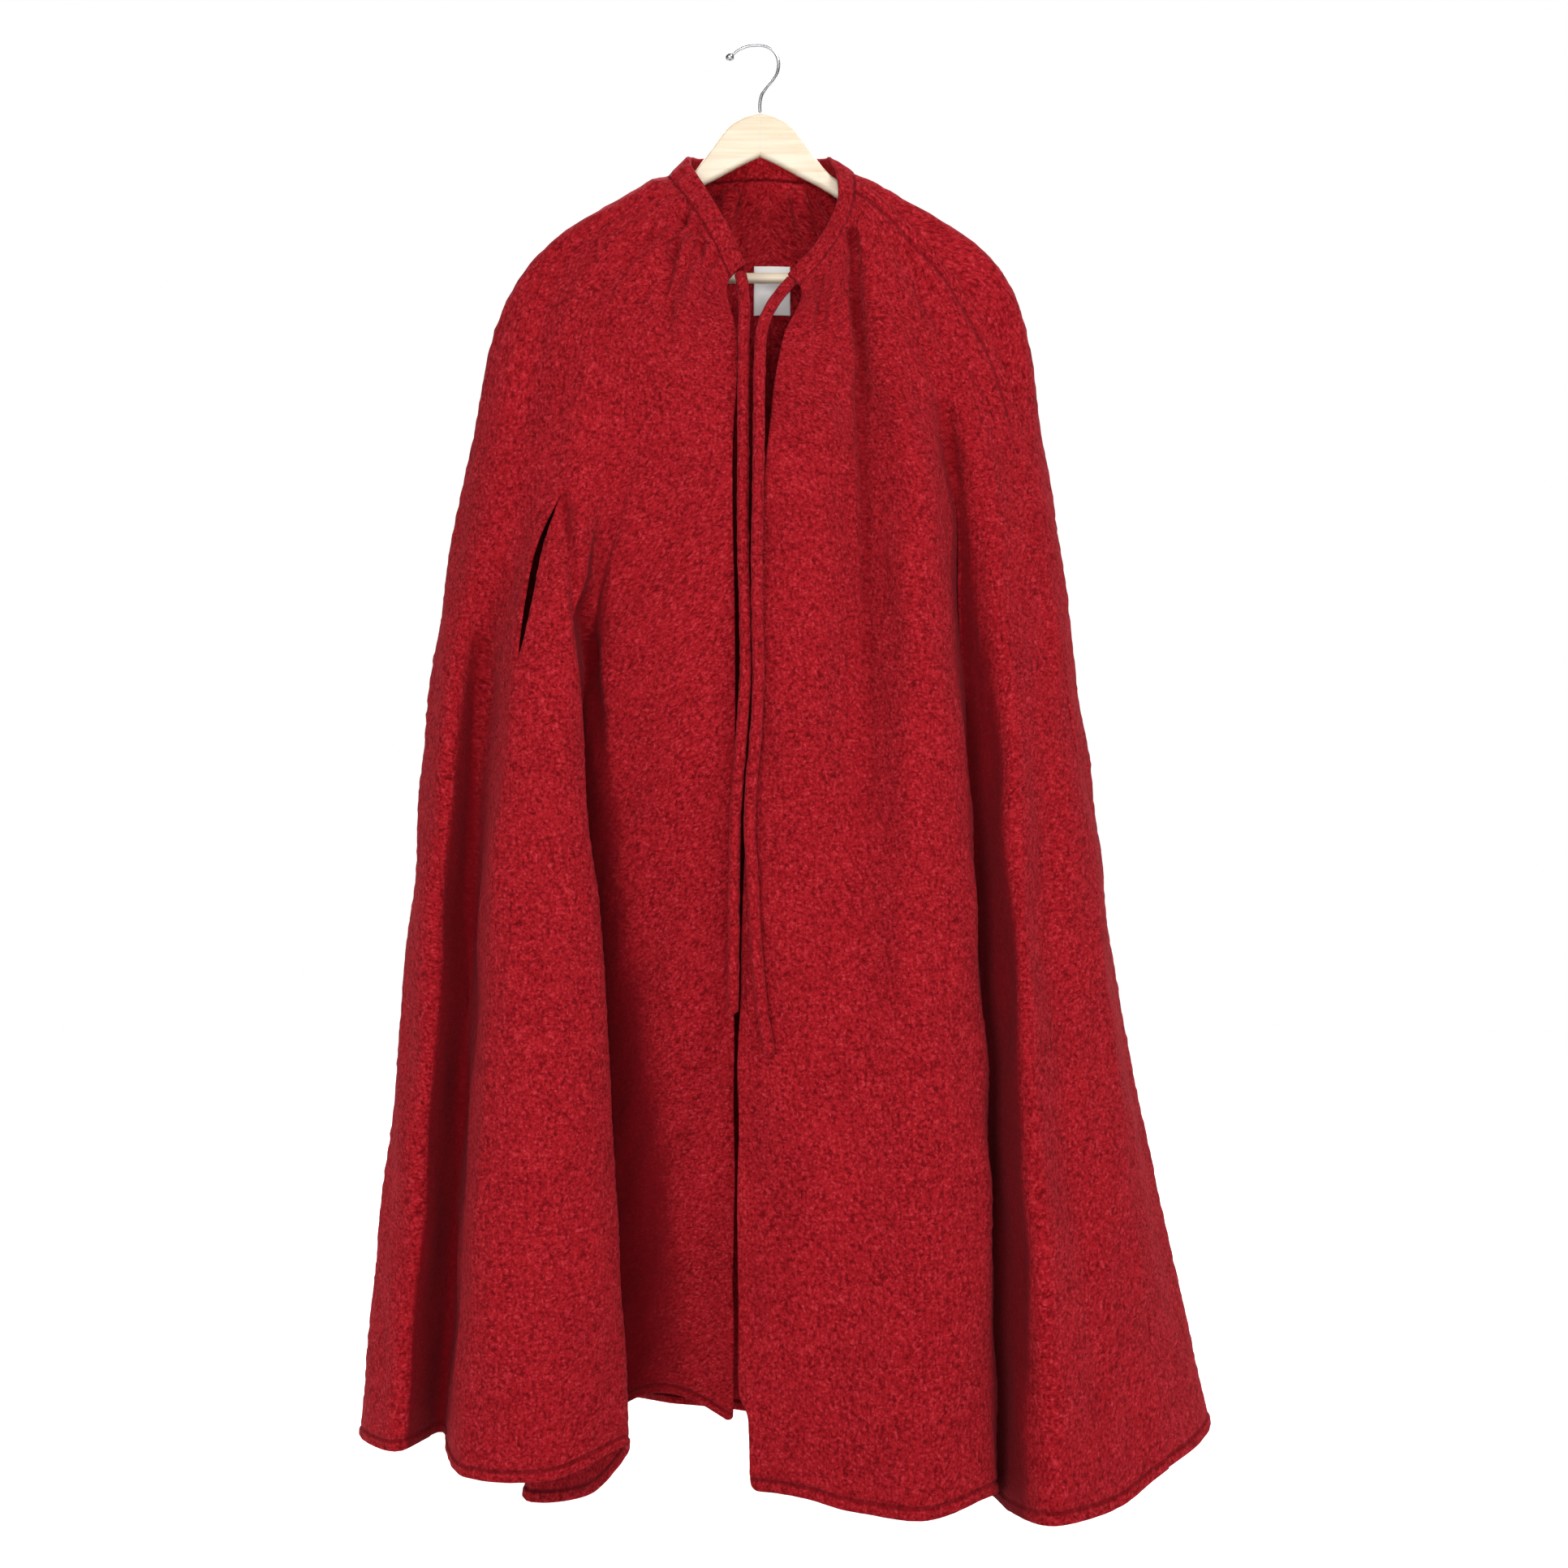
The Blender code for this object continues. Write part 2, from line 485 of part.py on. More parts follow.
def label(collection, finish):
    """The blank label, made from the inside of the back, moved inwards."""
    rows = np.linspace(LABEL_TOP, LABEL_TOP + LABEL_HEIGHT, 4)
    scan = np.linspace(u_of("back_3"), u_of("back_9"), 400)
    u, v = np.empty((len(rows), 8)), np.empty((len(rows), 8))
    for i, row in enumerate(rows):
        x = cloth(scan[None, :], np.full((1, len(scan)), row))[0, :, 0]
        u[i] = np.interp(np.linspace(LABEL_X - LABEL_WIDTH / 2, LABEL_X + LABEL_WIDTH / 2, 8), x, scan)
        v[i] = row
    normal, _ = directions(cloth, u, v)
    near = cloth(u, v) - normal * (CLOTH / 2 + SEAM_GAP * 2)
    return wall(collection, "label", near, near - normal * LABEL_CLOTH, finish)


def rounded_ring(half_y, top, bottom, radius):
    """Points (y, z) round a rectangle with rounded corners, three to a corner."""
    radius = min(radius, (top - bottom) * 0.45)
    ring = []
    for side_y, side_z, start in ((1, 1, 0), (-1, 1, 90), (-1, -1, 180), (1, -1, 270)):
        corner_y = side_y * (half_y - radius)
        corner_z = top - radius if side_z > 0 else bottom + radius
        for angle in (start, start + 45, start + 90):
            turn = math.radians(angle)
            ring.append((corner_y + radius * math.cos(turn), corner_z + radius * math.sin(turn)))
    return ring


def hanger_arm(collection, name, side, drop, finish):
    """One arm, lofted through its sections from the joint to the rounded end."""
    rings = []
    for section in HANGER:
        out = max(section.out, JOINT_GAP / 2)
        top = section.top - drop * np.clip((out - 0.05) / 0.035, 0.0, 1.0)
        ring = rounded_ring(ARM_THICK / 2, top, section.bottom, ARM_EDGE)
        rings.append([(HANGER_X + side * out, y, z) for y, z in ring])
    count = len(rings[0])
    points = [p for ring in rings for p in ring]
    faces = []
    for r in range(len(rings) - 1):
        for i in range(count):
            a, b = r * count + i, r * count + (i + 1) % count
            faces.append((a, b, b + count, a + count))
    faces.append(tuple(reversed(range(count))))
    faces.append(tuple(range(len(points) - count, len(points))))
    if side < 0:
        faces = [tuple(reversed(face)) for face in faces]
    return add_object(collection, name, points, faces, finish)


def hanger_bar(collection, finish):
    """The round bar between the ends of the arms."""
    bpy.ops.mesh.primitive_cylinder_add(vertices=20, radius=BAR_RADIUS, depth=2 * BAR_REACH,
                                        location=(HANGER_X, 0.0, BAR_Z),
                                        rotation=(0.0, math.pi / 2, 0.0))
    return adopt(collection, "hanger_bar", finish)


def adopt(collection, name, finish):
    """The object just added: named, in the collection, with its material."""
    made = bpy.context.object
    made.name = made.data.name = name
    for old in list(made.users_collection):
        old.objects.unlink(made)
    collection.objects.link(made)
    made.data.materials.append(finish)
    return made


def route_points(route, step):
    """Points along the smooth curve through a route, evenly spaced, ends kept."""
    points = np.array([(p.x, p.y, p.z) for p in route])
    steps = np.linalg.norm(np.diff(points, axis=0), axis=1)
    length = np.concatenate([[0.0], np.cumsum(steps)])
    count = max(2, round(length[-1] / step) + 1)
    return hermite(length, points, np.linspace(0.0, length[-1], count))


def tube(collection, name, points, radius, finish, resolution=2):
    """A round tube along points: a curve with a bevel and filled caps."""
    data = bpy.data.curves.new(name, "CURVE")
    data.dimensions = "3D"
    data.bevel_depth = radius
    data.bevel_resolution = resolution
    data.use_fill_caps = True
    spline = data.splines.new("POLY")
    spline.points.add(len(points) - 1)
    for slot, point in zip(spline.points, points):
        slot.co = (*point, 1.0)
    data.materials.append(finish)
    made = bpy.data.objects.new(name, data)
    collection.objects.link(made)
    return made


def hook_ball(collection, finish):
    """The ball on the free end of the hook."""
    end = np.array(HOOK_ROUTE[-1])
    way = end - np.array(HOOK_ROUTE[-2])
    way /= np.linalg.norm(way)
    # the flat end of the wire touches no nearer than the gap
    centre = end + way * (BALL_RADIUS + BALL_GAP)
    bpy.ops.mesh.primitive_uv_sphere_add(segments=16, ring_count=10, radius=BALL_RADIUS,
                                         location=tuple(centre))
    return adopt(collection, "hanger_hook_ball", finish)


def main():
    collection = clear_collections()
    wool = material("red_wool", (0.36, 0.012, 0.022), 0.95)
    wood = material("pale_wood", (0.72, 0.52, 0.31), 0.45)
    steel = material("steel_wire", (0.62, 0.63, 0.65), 0.25, metallic=1.0)
    woven = material("label_white", (0.83, 0.82, 0.80), 0.8)
    panel(collection, "front_right", "right_edge", "right_seam", wool, slit_fold="right_slit",
          slit_bow=SLIT_BOW)
    panel(collection, "back_right", "right_seam", "back_centre", wool)
    panel(collection, "back_left", "back_centre", "left_seam", wool)
    panel(collection, "front_left", "left_seam", "left_edge", wool, slit_fold="left_valley",
          slit_bow=-SLIT_BOW, welt_at="left_seam")
    neckband(collection, wool)
    tube(collection, "tie_right", route_points(TIE_RIGHT_ROUTE, ROUTE_STEP), TIE_RADIUS, wool)
    tube(collection, "tie_left", route_points(TIE_LEFT_ROUTE, ROUTE_STEP), TIE_RADIUS, wool)
    label(collection, woven)
    hanger_arm(collection, "hanger_arm_right", -1, ARM_DROP_RIGHT, wood)
    hanger_arm(collection, "hanger_arm_left", 1, ARM_DROP_LEFT, wood)
    hanger_bar(collection, wood)
    tube(collection, "hanger_hook", route_points(HOOK_ROUTE, 0.0045), WIRE_RADIUS, steel)
    hook_ball(collection, steel)


main()
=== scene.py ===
"""A long wool cape with ties, on its wooden hanger, dressed over the construction solids.

Metres, +Z up, +X to the viewer's right, -Y towards the viewer. Left and right are the wearer's.
"""
import math
from collections import namedtuple

import bpy
import numpy as np
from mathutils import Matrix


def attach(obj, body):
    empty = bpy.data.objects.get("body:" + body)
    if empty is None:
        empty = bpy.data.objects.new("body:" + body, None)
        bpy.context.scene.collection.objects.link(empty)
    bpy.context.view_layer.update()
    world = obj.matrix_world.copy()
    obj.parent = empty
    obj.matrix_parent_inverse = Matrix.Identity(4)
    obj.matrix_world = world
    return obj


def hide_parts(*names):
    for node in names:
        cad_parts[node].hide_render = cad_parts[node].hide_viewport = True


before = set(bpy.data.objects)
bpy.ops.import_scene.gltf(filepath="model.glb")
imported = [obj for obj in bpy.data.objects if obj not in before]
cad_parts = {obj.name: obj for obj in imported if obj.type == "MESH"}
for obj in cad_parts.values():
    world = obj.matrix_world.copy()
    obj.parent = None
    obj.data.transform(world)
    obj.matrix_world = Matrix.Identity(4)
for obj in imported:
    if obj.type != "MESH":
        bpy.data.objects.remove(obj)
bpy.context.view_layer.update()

# Camera
# It stands level in front of the cape, at half its height. The long lens on a square
# image keeps the folds upright and the hem nearly flat.
CAMERA_PLACE = (0.0274, -2.600, -0.690)
CAMERA_LENS = 63.76             # mm, with a sensor 36 mm wide

camera_data = bpy.data.cameras.new("camera")
camera_data.lens = CAMERA_LENS
camera_data.sensor_width = 36.0
camera = bpy.data.objects.new("camera", camera_data)
camera.location = CAMERA_PLACE
camera.rotation_euler = (math.pi / 2, 0.0, 0.0)
bpy.context.scene.collection.objects.link(camera)
bpy.context.scene.camera = camera
bpy.context.scene.view_settings.view_transform = "Standard"


# Ties
# Two long round cords, each a narrow strip of the cape's own wool sewn into a tube and
# turned right side out. Each grows out of one end of the neckband and hangs free.
TIE_RADIUS = 0.0055
TIE_RIGHT_ROUTE = (
    (-0.0124, -0.0609, -0.2236), (-0.0106, -0.0640, -0.2330), (-0.0090, -0.0700, -0.2500),
    (-0.0090, -0.0775, -0.2850), (-0.0095, -0.0830, -0.3300), (-0.0095, -0.0850, -0.3900),
    (-0.0098, -0.0870, -0.4500), (-0.0090, -0.0900, -0.5000), (-0.0075, -0.0940, -0.5500),
    (-0.0080, -0.0970, -0.6050), (-0.0120, -0.0975, -0.6600), (-0.0160, -0.0970, -0.7150),
    (-0.0175, -0.0965, -0.7700), (-0.0180, -0.0965, -0.8300), (-0.0190, -0.0965, -0.8980),
)
TIE_LEFT_ROUTE = (
    (0.0341, -0.0575, -0.2292), (0.0285, -0.0603, -0.2362), (0.0220, -0.0660, -0.2450),
    (0.0150, -0.0745, -0.2570), (0.0090, -0.0835, -0.2720), (0.0060, -0.0890, -0.2950),
    (0.0050, -0.0930, -0.3300), (0.0045, -0.0945, -0.3900), (0.0035, -0.0965, -0.4500),
    (0.0030, -0.0985, -0.5100), (0.0040, -0.1000, -0.5700), (0.0035, -0.1010, -0.6250),
    (-0.0020, -0.1020, -0.6900), (-0.0035, -0.1030, -0.7200), (-0.0005, -0.1045, -0.7800),
    (0.0035, -0.1060, -0.8500), (0.0090, -0.1080, -0.9000), (0.0150, -0.1100, -0.9350),
)
TIE_ROW = 0.003                 # between the rings of a tie
TIE_RING = 20                   # points in a ring
TIE_END = 0.005                 # length of its rounded end
TIE_LUMP = 0.035                # how uneven its skin is, as a share of the radius
TIE_SEAM = 1.1                  # where round the tie its seam runs, in radians
TIE_SWAY, TIE_SWAY_LENGTH = 0.9, 0.11   # how far the seam winds to each side, and over what length
CORD_STEP = 0.02                # between the points of a coarse copy of a tie's path, which nothing uses
# Wool colours: its own red; a lighter pink that is a painted highlight on the raised loops; and a dark red
# that is painted shade in the gaps between loops, in stitched grooves and in folds, and also the yarn's
# uneven tone in broad random patches.
WOOL_RED = (0.360, 0.0092, 0.0155, 1.0)
WOOL_HIGHLIGHT = (0.620, 0.055, 0.075, 1.0)
WOOL_SHADE = (0.130, 0.0016, 0.0040, 1.0)
BOUCLE_LOOP = 0.0038            # size of one loop of the yarn
BOUCLE_HEIGHT = 0.0022          # how far a loop stands up
STITCH_HALF = 0.0011            # half the width of a stitched groove
STITCH_SHADE = 0.60             # how dark the painted shade in that groove is
HOLLOW_LOW, HOLLOW_HIGH = 0.0008, 0.0150    # depths of a fold between which its painted shade grows
HOLLOW_SHADE = 0.86             # how dark that painted shade gets


def running_length(points):
    """Length along a row of points, from 0 at the first."""
    return np.concatenate([[0.0], np.cumsum(np.linalg.norm(np.diff(points, axis=0), axis=1))])


def place_piece(piece, node):
    """Puts a piece on its body, in place of its solid."""
    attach(piece, "root")
    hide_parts(node)


def add_node(tree, kind, sockets, **settings):
    """A node with its settings, and each named socket given a value or a link."""
    made = tree.nodes.new(kind)
    for name, value in settings.items():
        setattr(made, name, value)
    for key, value in sockets.items():
        if isinstance(value, bpy.types.NodeSocket):
            tree.links.new(value, made.inputs[key])
        else:
            made.inputs[key].default_value = value
    return made


def math_node(tree, operation, first, second=0.0):
    """The result of one sum on two values or sockets."""
    return add_node(tree, "ShaderNodeMath", {0: first, 1: second}, operation=operation).outputs[0]


def ramp(tree, value, low, high):
    """0 below low, 1 above high and smooth between them."""
    made = add_node(tree, "ShaderNodeMapRange", {"Value": value, "From Min": low, "From Max": high},
                    interpolation_type="SMOOTHSTEP")
    return made.outputs[0]


def mix_colour(tree, share, first, second):
    """The first colour, giving way to the second by the share."""
    made = add_node(tree, "ShaderNodeMix", {0: share, 6: first, 7: second}, data_type="RGBA")
    return made.outputs[2]


def noise(tree, place, scale, detail):
    """A noise value over a place, with so many bumps to the unit."""
    made = add_node(tree, "ShaderNodeTexNoise", {"Vector": place, "Scale": scale, "Detail": detail})
    return made.outputs[0]


def coordinates(tree, kind):
    """The place on the surface: "UV" in metres on the cloth, or "Object"."""
    return tree.nodes.new("ShaderNodeTexCoord").outputs[kind]


def finish_surface(tree, shader, colour, height, strength, distance):
    """Links a colour and a bump of a height to the shader."""
    bump = add_node(tree, "ShaderNodeBump", {"Strength": strength, "Distance": distance, "Height": height})
    tree.links.new(colour, shader.inputs["Base Color"])
    tree.links.new(bump.outputs["Normal"], shader.inputs["Normal"])


def new_group(name, inputs, outputs):
    """An empty shader group with named sockets: the tree, its way in and its way out."""
    tree = bpy.data.node_groups.new(name, "ShaderNodeTree")
    for title, kind in inputs:
        tree.interface.new_socket(title, in_out="INPUT", socket_type="NodeSocket" + kind)
    for title, kind in outputs:
        tree.interface.new_socket(title, in_out="OUTPUT", socket_type="NodeSocket" + kind)
    return tree, tree.nodes.new("NodeGroupInput").outputs, tree.nodes.new("NodeGroupOutput").inputs


def boucle_group():
    """Loopy yarn: cells of yarn bent by noise, with hairs between them; a painted highlight on the raised
    loops, painted shade in the low gaps, and broad random patches of darker tone.
    """
    tree, given, result = new_group(
        "boucle_yarn",
        (("Place", "Vector"), ("Loop", "Float"), ("Colour", "Color"), ("Fleck", "Color"),
         ("Shade", "Color")),
        (("Colour", "Color"), ("Height", "Float")))
    loops = add_node(tree, "ShaderNodeVectorMath", {0: given["Place"], "Scale": 1.0}, operation="SCALE")
    tree.links.new(math_node(tree, "DIVIDE", 1.0, given["Loop"]), loops.inputs["Scale"])
    place = loops.outputs[0]
    bend = add_node(tree, "ShaderNodeTexNoise", {"Vector": place, "Scale": 0.55, "Detail": 3.0})
    bent = add_node(tree, "ShaderNodeVectorMath", {0: place, 1: bend.outputs["Color"]}, operation="ADD")
    curls = add_node(tree, "ShaderNodeTexNoise", {"Vector": bent.outputs[0], "Scale": 0.85, "Detail": 4.0,
                                                 "Roughness": 0.62, "Distortion": 1.6})
    cells = add_node(tree, "ShaderNodeTexVoronoi",
                     {"Vector": bent.outputs[0], "Scale": 1.2, "Smoothness": 0.7}, feature="SMOOTH_F1")
    hump = math_node(tree, "SUBTRACT", 1.0, cells.outputs["Distance"])
    hairs = noise(tree, place, 4.0, 3.0)
    tall = add_node(tree, "ShaderNodeVectorMath", {0: place, 1: (1.6, 0.35, 1.0)}, operation="MULTIPLY")
    warp = noise(tree, tall.outputs[0], 1.0, 3.0)
    height = math_node(tree, "MULTIPLY", curls.outputs[0], 0.80)
    for part, weight in ((hump, 0.30), (hairs, 0.30), (warp, 0.25)):
        height = math_node(tree, "ADD", height, math_node(tree, "MULTIPLY", part, weight))
    # Painted highlight on the raised loops, painted shade in the low gaps between them, and broad random
    # patches of darker tone
    light = math_node(tree, "MULTIPLY", ramp(tree, height, 0.86, 1.08), 0.56)
    dark = math_node(tree, "MULTIPLY", ramp(tree, height, 0.90, 0.65), 0.90)
    spread = noise(tree, place, 0.06, 3.0)
    dark = math_node(tree, "ADD", dark, math_node(tree, "MULTIPLY", ramp(tree, spread, 0.62, 0.30), 0.10))
    colour = mix_colour(tree, light, given["Colour"], given["Fleck"])
    colour = mix_colour(tree, dark, colour, given["Shade"])
    tree.links.new(colour, result["Colour"])
    tree.links.new(height, result["Height"])
    return tree


def new_material(name, **values):
    """A Principled material with constant values on its own sockets: its tree and its shader."""
    made = bpy.data.materials.new(name)
    made.use_nodes = True
    shader = made.node_tree.nodes["Principled BSDF"]
    for key, value in values.items():
        shader.inputs[key.replace("_", " ")].default_value = value
    return made, made.node_tree, shader


def wool_material():
    """Red boucle wool, from two attributes: "stitch" is the distance from the nearest sewn line, whose
    groove gets painted shade, and the other is the depth of a fold, where the cloth is painted darker as
    the shade of the fold and of cloth hanging in front."""
    made, tree, shader = new_material("red_boucle", Roughness=0.95, Sheen_Weight=0.10, Sheen_Roughness=0.50,
                                      Sheen_Tint=(1.0, 0.20, 0.25, 1.0), Specular_IOR_Level=0.06)
    place = coordinates(tree, "UV")
    yarn = add_node(tree, "ShaderNodeGroup", {}, node_tree=BOUCLE)
    tree.links.new(place, yarn.inputs["Place"])
    for key, value in (("Loop", BOUCLE_LOOP), ("Colour", WOOL_RED), ("Fleck", WOOL_HIGHLIGHT),
                       ("Shade", WOOL_SHADE)):
        yarn.inputs[key].default_value = value
    sewn = add_node(tree, "ShaderNodeAttribute", {}, attribute_name="stitch").outputs["Fac"]
    # Painted shade in the stitched grooves of the hem, slit, welt, band and tie seam; the groove also
    # lowers the bump
    groove = ramp(tree, math_node(tree, "ABSOLUTE", sewn), STITCH_HALF * 2.2, STITCH_HALF * 0.4)
    sewn_shade = math_node(tree, "MULTIPLY", groove, STITCH_SHADE)
    colour = mix_colour(tree, sewn_shade, yarn.outputs["Colour"], WOOL_SHADE)
    # Painted shade in folds and under cloth hanging in front: the colour darkens towards WOOL_SHADE with
    # the fold's depth
    sunk = add_node(tree, "ShaderNodeAttribute", {}, attribute_name="hollow").outputs["Fac"]
    shade = math_node(tree, "MULTIPLY", ramp(tree, sunk, HOLLOW_LOW, HOLLOW_HIGH), HOLLOW_SHADE)
    colour = mix_colour(tree, shade, colour, WOOL_SHADE)
    height = math_node(tree, "SUBTRACT", yarn.outputs["Height"], math_node(tree, "MULTIPLY", groove, 0.8))
    finish_surface(tree, shader, colour, height, 0.85, BOUCLE_HEIGHT)
    return made


def hermite(knots, points, where, row=None):
    """The curve through points[i] at knots[i], read at "where".

    Each piece is the cubic with ends p0, p1 and slopes m0, m1, where the slope at a point
    is the mean of the two slopes beside it, each weighted by the other's length. With a
    row for each place, points[i] is a list that it is read from.
    """
    steps = np.diff(knots).reshape((-1,) + (1,) * (points.ndim - 1))
    rise = np.diff(points, axis=0) / steps
    slope = np.empty_like(points)
    slope[1:-1] = (rise[:-1] * steps[1:] + rise[1:] * steps[:-1]) / (steps[:-1] + steps[1:])
    slope[0] = 1.5 * rise[0] - 0.5 * slope[1]
    slope[-1] = 1.5 * rise[-1] - 0.5 * slope[-2]
    index = np.clip(np.searchsorted(knots, where, side="right") - 1, 0, len(knots) - 2)
    pick, following = (index, index + 1) if row is None else ((index, row), (index + 1, row))
    width = np.diff(knots)[index][..., None]
    t = (where - knots[index])[..., None] / width
    return ((1 + 2 * t) * (1 - t) ** 2 * points[pick] + t * (1 - t) ** 2 * slope[pick] * width
            + t * t * (3 - 2 * t) * points[following] + t * t * (t - 1) * slope[following] * width)


def ripples(x, y, shortest, longest, count, seed):
    """Uneven ground: a sum of "count" plane waves of seeded directions, lengths and phases."""
    draw = np.random.default_rng(seed)
    total = np.zeros(np.broadcast(x, y).shape)
    for angle, length, phase in zip(draw.uniform(0, np.pi, count), draw.uniform(shortest, longest, count),
                                    draw.uniform(0, 2 * np.pi, count)):
        total += np.sin(2 * np.pi * (x * np.cos(angle) + y * np.sin(angle)) / length + phase)
    return total / math.sqrt(count / 2)


def add_piece(name, points, faces, corner_uv, finish, values=None):
    """A smooth mesh object, with a UV in metres on each corner and named values on its points."""
    mesh = bpy.data.meshes.new(name)
    mesh.from_pydata(points.tolist(), [], faces)
    mesh.uv_layers.new(name="cloth").uv.foreach_set("vector", corner_uv.astype(np.float32).ravel())
    for title, numbers in (values or {}).items():
        mesh.attributes.new(title, "FLOAT", "POINT").data.foreach_set("value", numbers.astype(np.float32))
    mesh.shade_smooth()
    mesh.materials.append(finish)
    made = bpy.data.objects.new(name, mesh)
    bpy.context.scene.collection.objects.link(made)
    return made


def tube_mesh(name, path, radius, finish, stitch=None):
    """A round tube: at each point of the path a ring of its radius, which is given per ring.

    The ring stands across the path, on the side vector (path direction x Y axis) and the
    vector across both. The last strip of UV closes the ring without turning back.
    """
    rows, count = len(path), TIE_RING
    way = np.gradient(path, axis=0)
    way /= np.linalg.norm(way, axis=1, keepdims=True)
    side = np.cross(way, (0.0, 1.0, 0.0))
    side /= np.linalg.norm(side, axis=1, keepdims=True)
    front = np.cross(side, way)
    turn = np.linspace(0, 2 * np.pi, count + 1)
    ring = (side[:, None] * np.cos(turn[:-1])[:, None] + front[:, None] * np.sin(turn[:-1])[:, None])
    points = path[:, None] + ring * np.broadcast_to(radius, (rows, count))[:, :, None]
    number = np.arange(rows * count).reshape(rows, count)
    after = np.roll(number, -1, axis=1)
    quads = np.stack([number[:-1], after[:-1], after[1:], number[1:]], axis=-1).reshape(-1, 4)
    around, along = turn[None, :] * np.max(radius), running_length(path)[:, None]
    flat = np.stack(np.broadcast_arrays(around, along), axis=-1)
    corners = np.stack([flat[:-1, :-1], flat[:-1, 1:], flat[1:, 1:], flat[1:, :-1]], axis=2).reshape(-1, 2)
    caps = [number[0][::-1].tolist(), number[-1].tolist()]
    corners = np.concatenate([corners, flat[0, :-1][::-1], flat[-1, :-1]])
    values = {} if stitch is None else {"stitch": np.broadcast_to(stitch, (rows, count)).ravel()}
    return add_piece(name, points.reshape(-1, 3), quads.tolist() + caps, corners, finish, values)


def path_through(route, step):
    """Points along the smooth curve through a route, evenly spaced, with its ends kept."""
    points = np.array(route)
    length = running_length(points)
    return hermite(length, points, np.linspace(0.0, length[-1], max(2, round(length[-1] / step) + 1)))


def add_tie(name, node, route, seed):
    """One tie: a tube with a soft uneven skin, its seam on the inner side and a rounded end."""
    path = path_through(route, TIE_ROW)
    along = np.arange(len(path))[:, None] * TIE_ROW
    turn = np.linspace(0, 2 * np.pi, TIE_RING + 1)[None, :-1]
    to_end = np.clip((along[-1, 0] - along) / TIE_END, 0.0, 1.0)
    skin = 1.0 + TIE_LUMP * ripples(np.cos(turn) * 0.004 + 0.0 * along, along + 0.004 * np.sin(turn),
                                    0.010, 0.030, 24, seed)
    radius = TIE_RADIUS * skin * np.sqrt(np.clip(1.02 - (1.0 - to_end) ** 2, 0.0, 1.0))
    seam = (turn - TIE_SEAM - TIE_SWAY * np.sin(along / TIE_SWAY_LENGTH)) * TIE_RADIUS
    tie = tube_mesh(name, path, radius, WOOL, seam)
    place_piece(tie, node)
    [tuple(p) for p in path_through(route, CORD_STEP)]


BOUCLE = boucle_group()
WOOL = wool_material()
add_tie("tie_right_cord", "tie_right", TIE_RIGHT_ROUTE, 11)
add_tie("tie_left_cord", "tie_left", TIE_LEFT_ROUTE, 12)


# Cape panels
# Four panels of thick boucle wool: two fronts and two backs, gathered into the neckband.
# Their seams run over the shoulders and down the middle of the back. The hem is turned up
# and stitched, and each front has a slit for the arm.
CLOTH = 0.0030                  # one layer of the wool
HEM_CLOTH = 0.0050              # the turned-up hem
HEM_TURN = 0.0095               # its height
SEAM_LAP = 0.0002               # how far sewn edges run past their seam, so that no light comes through
SEAM_RISE = 0.0010              # the welt beside the left shoulder seam
SEAM_WELT = 0.0140              # its width
SLIT_GAP = 0.0076               # the right arm slit's greatest opening
SLIT_CLOSED = 0.0009            # the left one's, whose lips lie together in a fold
SLIT_BOW = 0.006                # how far the slit's middle curves away from the front edge
SLIT_REACH = 0.030              # how far beside the slit the cloth makes way for it
SLIT_WELT = 0.0145              # from the slit's lip to its stitching
SLIT_FAINT = 0.0013             # added to the distance from it, which leaves the stitching faint
ROW_STEP = 0.0042
COLUMN_STEP = 0.0050
WIDTH_POWER = 0.8
SOFT_RIPPLE = 0.0011            # long uneven waves in the hanging cloth
FINE_RIPPLE = 0.00028           # the lumpy face of the yarn
EDGE_COLUMNS = (0.0007, 0.0017, 0.0034)     # distances of the close columns by an edge
HOLLOW_REACH = 0.026            # the cloth within this distance sets the depth of a fold, for its painted shade
HOLLOW_SLOPE = 2.2              # cloth further aside than this share of its height throws no shade
HOLLOW_COVER = 0.20             # weight of the cloth that hangs in front, whose shadow is painted on the cloth behind
CORNER_RADIUS = 0.010           # of the hem's corners at the front edges
CORNER_SPREAD = 0.04            # the cloth within this distance of the edge follows it
FOOT_HEIGHT = 0.082             # the left front edge turns back below this height
FOOT_TURN = 0.009               # and by this much
FOOT_BLEND = 0.024              # height over which it does
GATHER_START = 0.014            # below the band, the height over which gathers and creases begin
CALM_BLEND = 0.10               # height over which the waves grow beside a sewn edge
STITCH_PINCH = 0.0007           # how far a stitch draws in each face of the cloth
STITCH_REACH = 0.0022           # and how far beside it
EDGE_ROUND = 0.0026             # width of an edge's rounding
EDGE_THIN = 0.30                # share of the thickness left at the very edge

# The neck edge, from the right front end round the back to the left front end: the
# gathered seam, and the top edge of the band above it
NeckPoint = namedtuple("NeckPoint", "seam_x seam_y seam_z top_x top_y top_z")
NECK = (
    NeckPoint(-0.022, -0.063, -0.228, -0.008, -0.056, -0.214),
    NeckPoint(-0.039, -0.052, -0.190, -0.022, -0.046, -0.181),
    NeckPoint(-0.061, -0.033, -0.152, -0.043, -0.029, -0.142),
    NeckPoint(-0.080, -0.004, -0.122, -0.061, -0.002, -0.106),
    NeckPoint(-0.062, 0.030, -0.121, -0.050, 0.027, -0.099),
    NeckPoint(0.006, 0.048, -0.115, 0.006, 0.044, -0.091),
    NeckPoint(0.073, 0.030, -0.121, 0.061, 0.027, -0.099),
    NeckPoint(0.090, -0.004, -0.119, 0.072, -0.002, -0.107),
    NeckPoint(0.090, -0.033, -0.158, 0.077, -0.028, -0.148),
    NeckPoint(0.072, -0.050, -0.197, 0.061, -0.045, -0.186),
    NeckPoint(0.042, -0.060, -0.235, 0.031, -0.054, -0.223),
)

# The heights of the sections below the shoulder
CHEST_Z, ELBOW_Z, KNEE_Z = -0.38, -0.55, -0.95

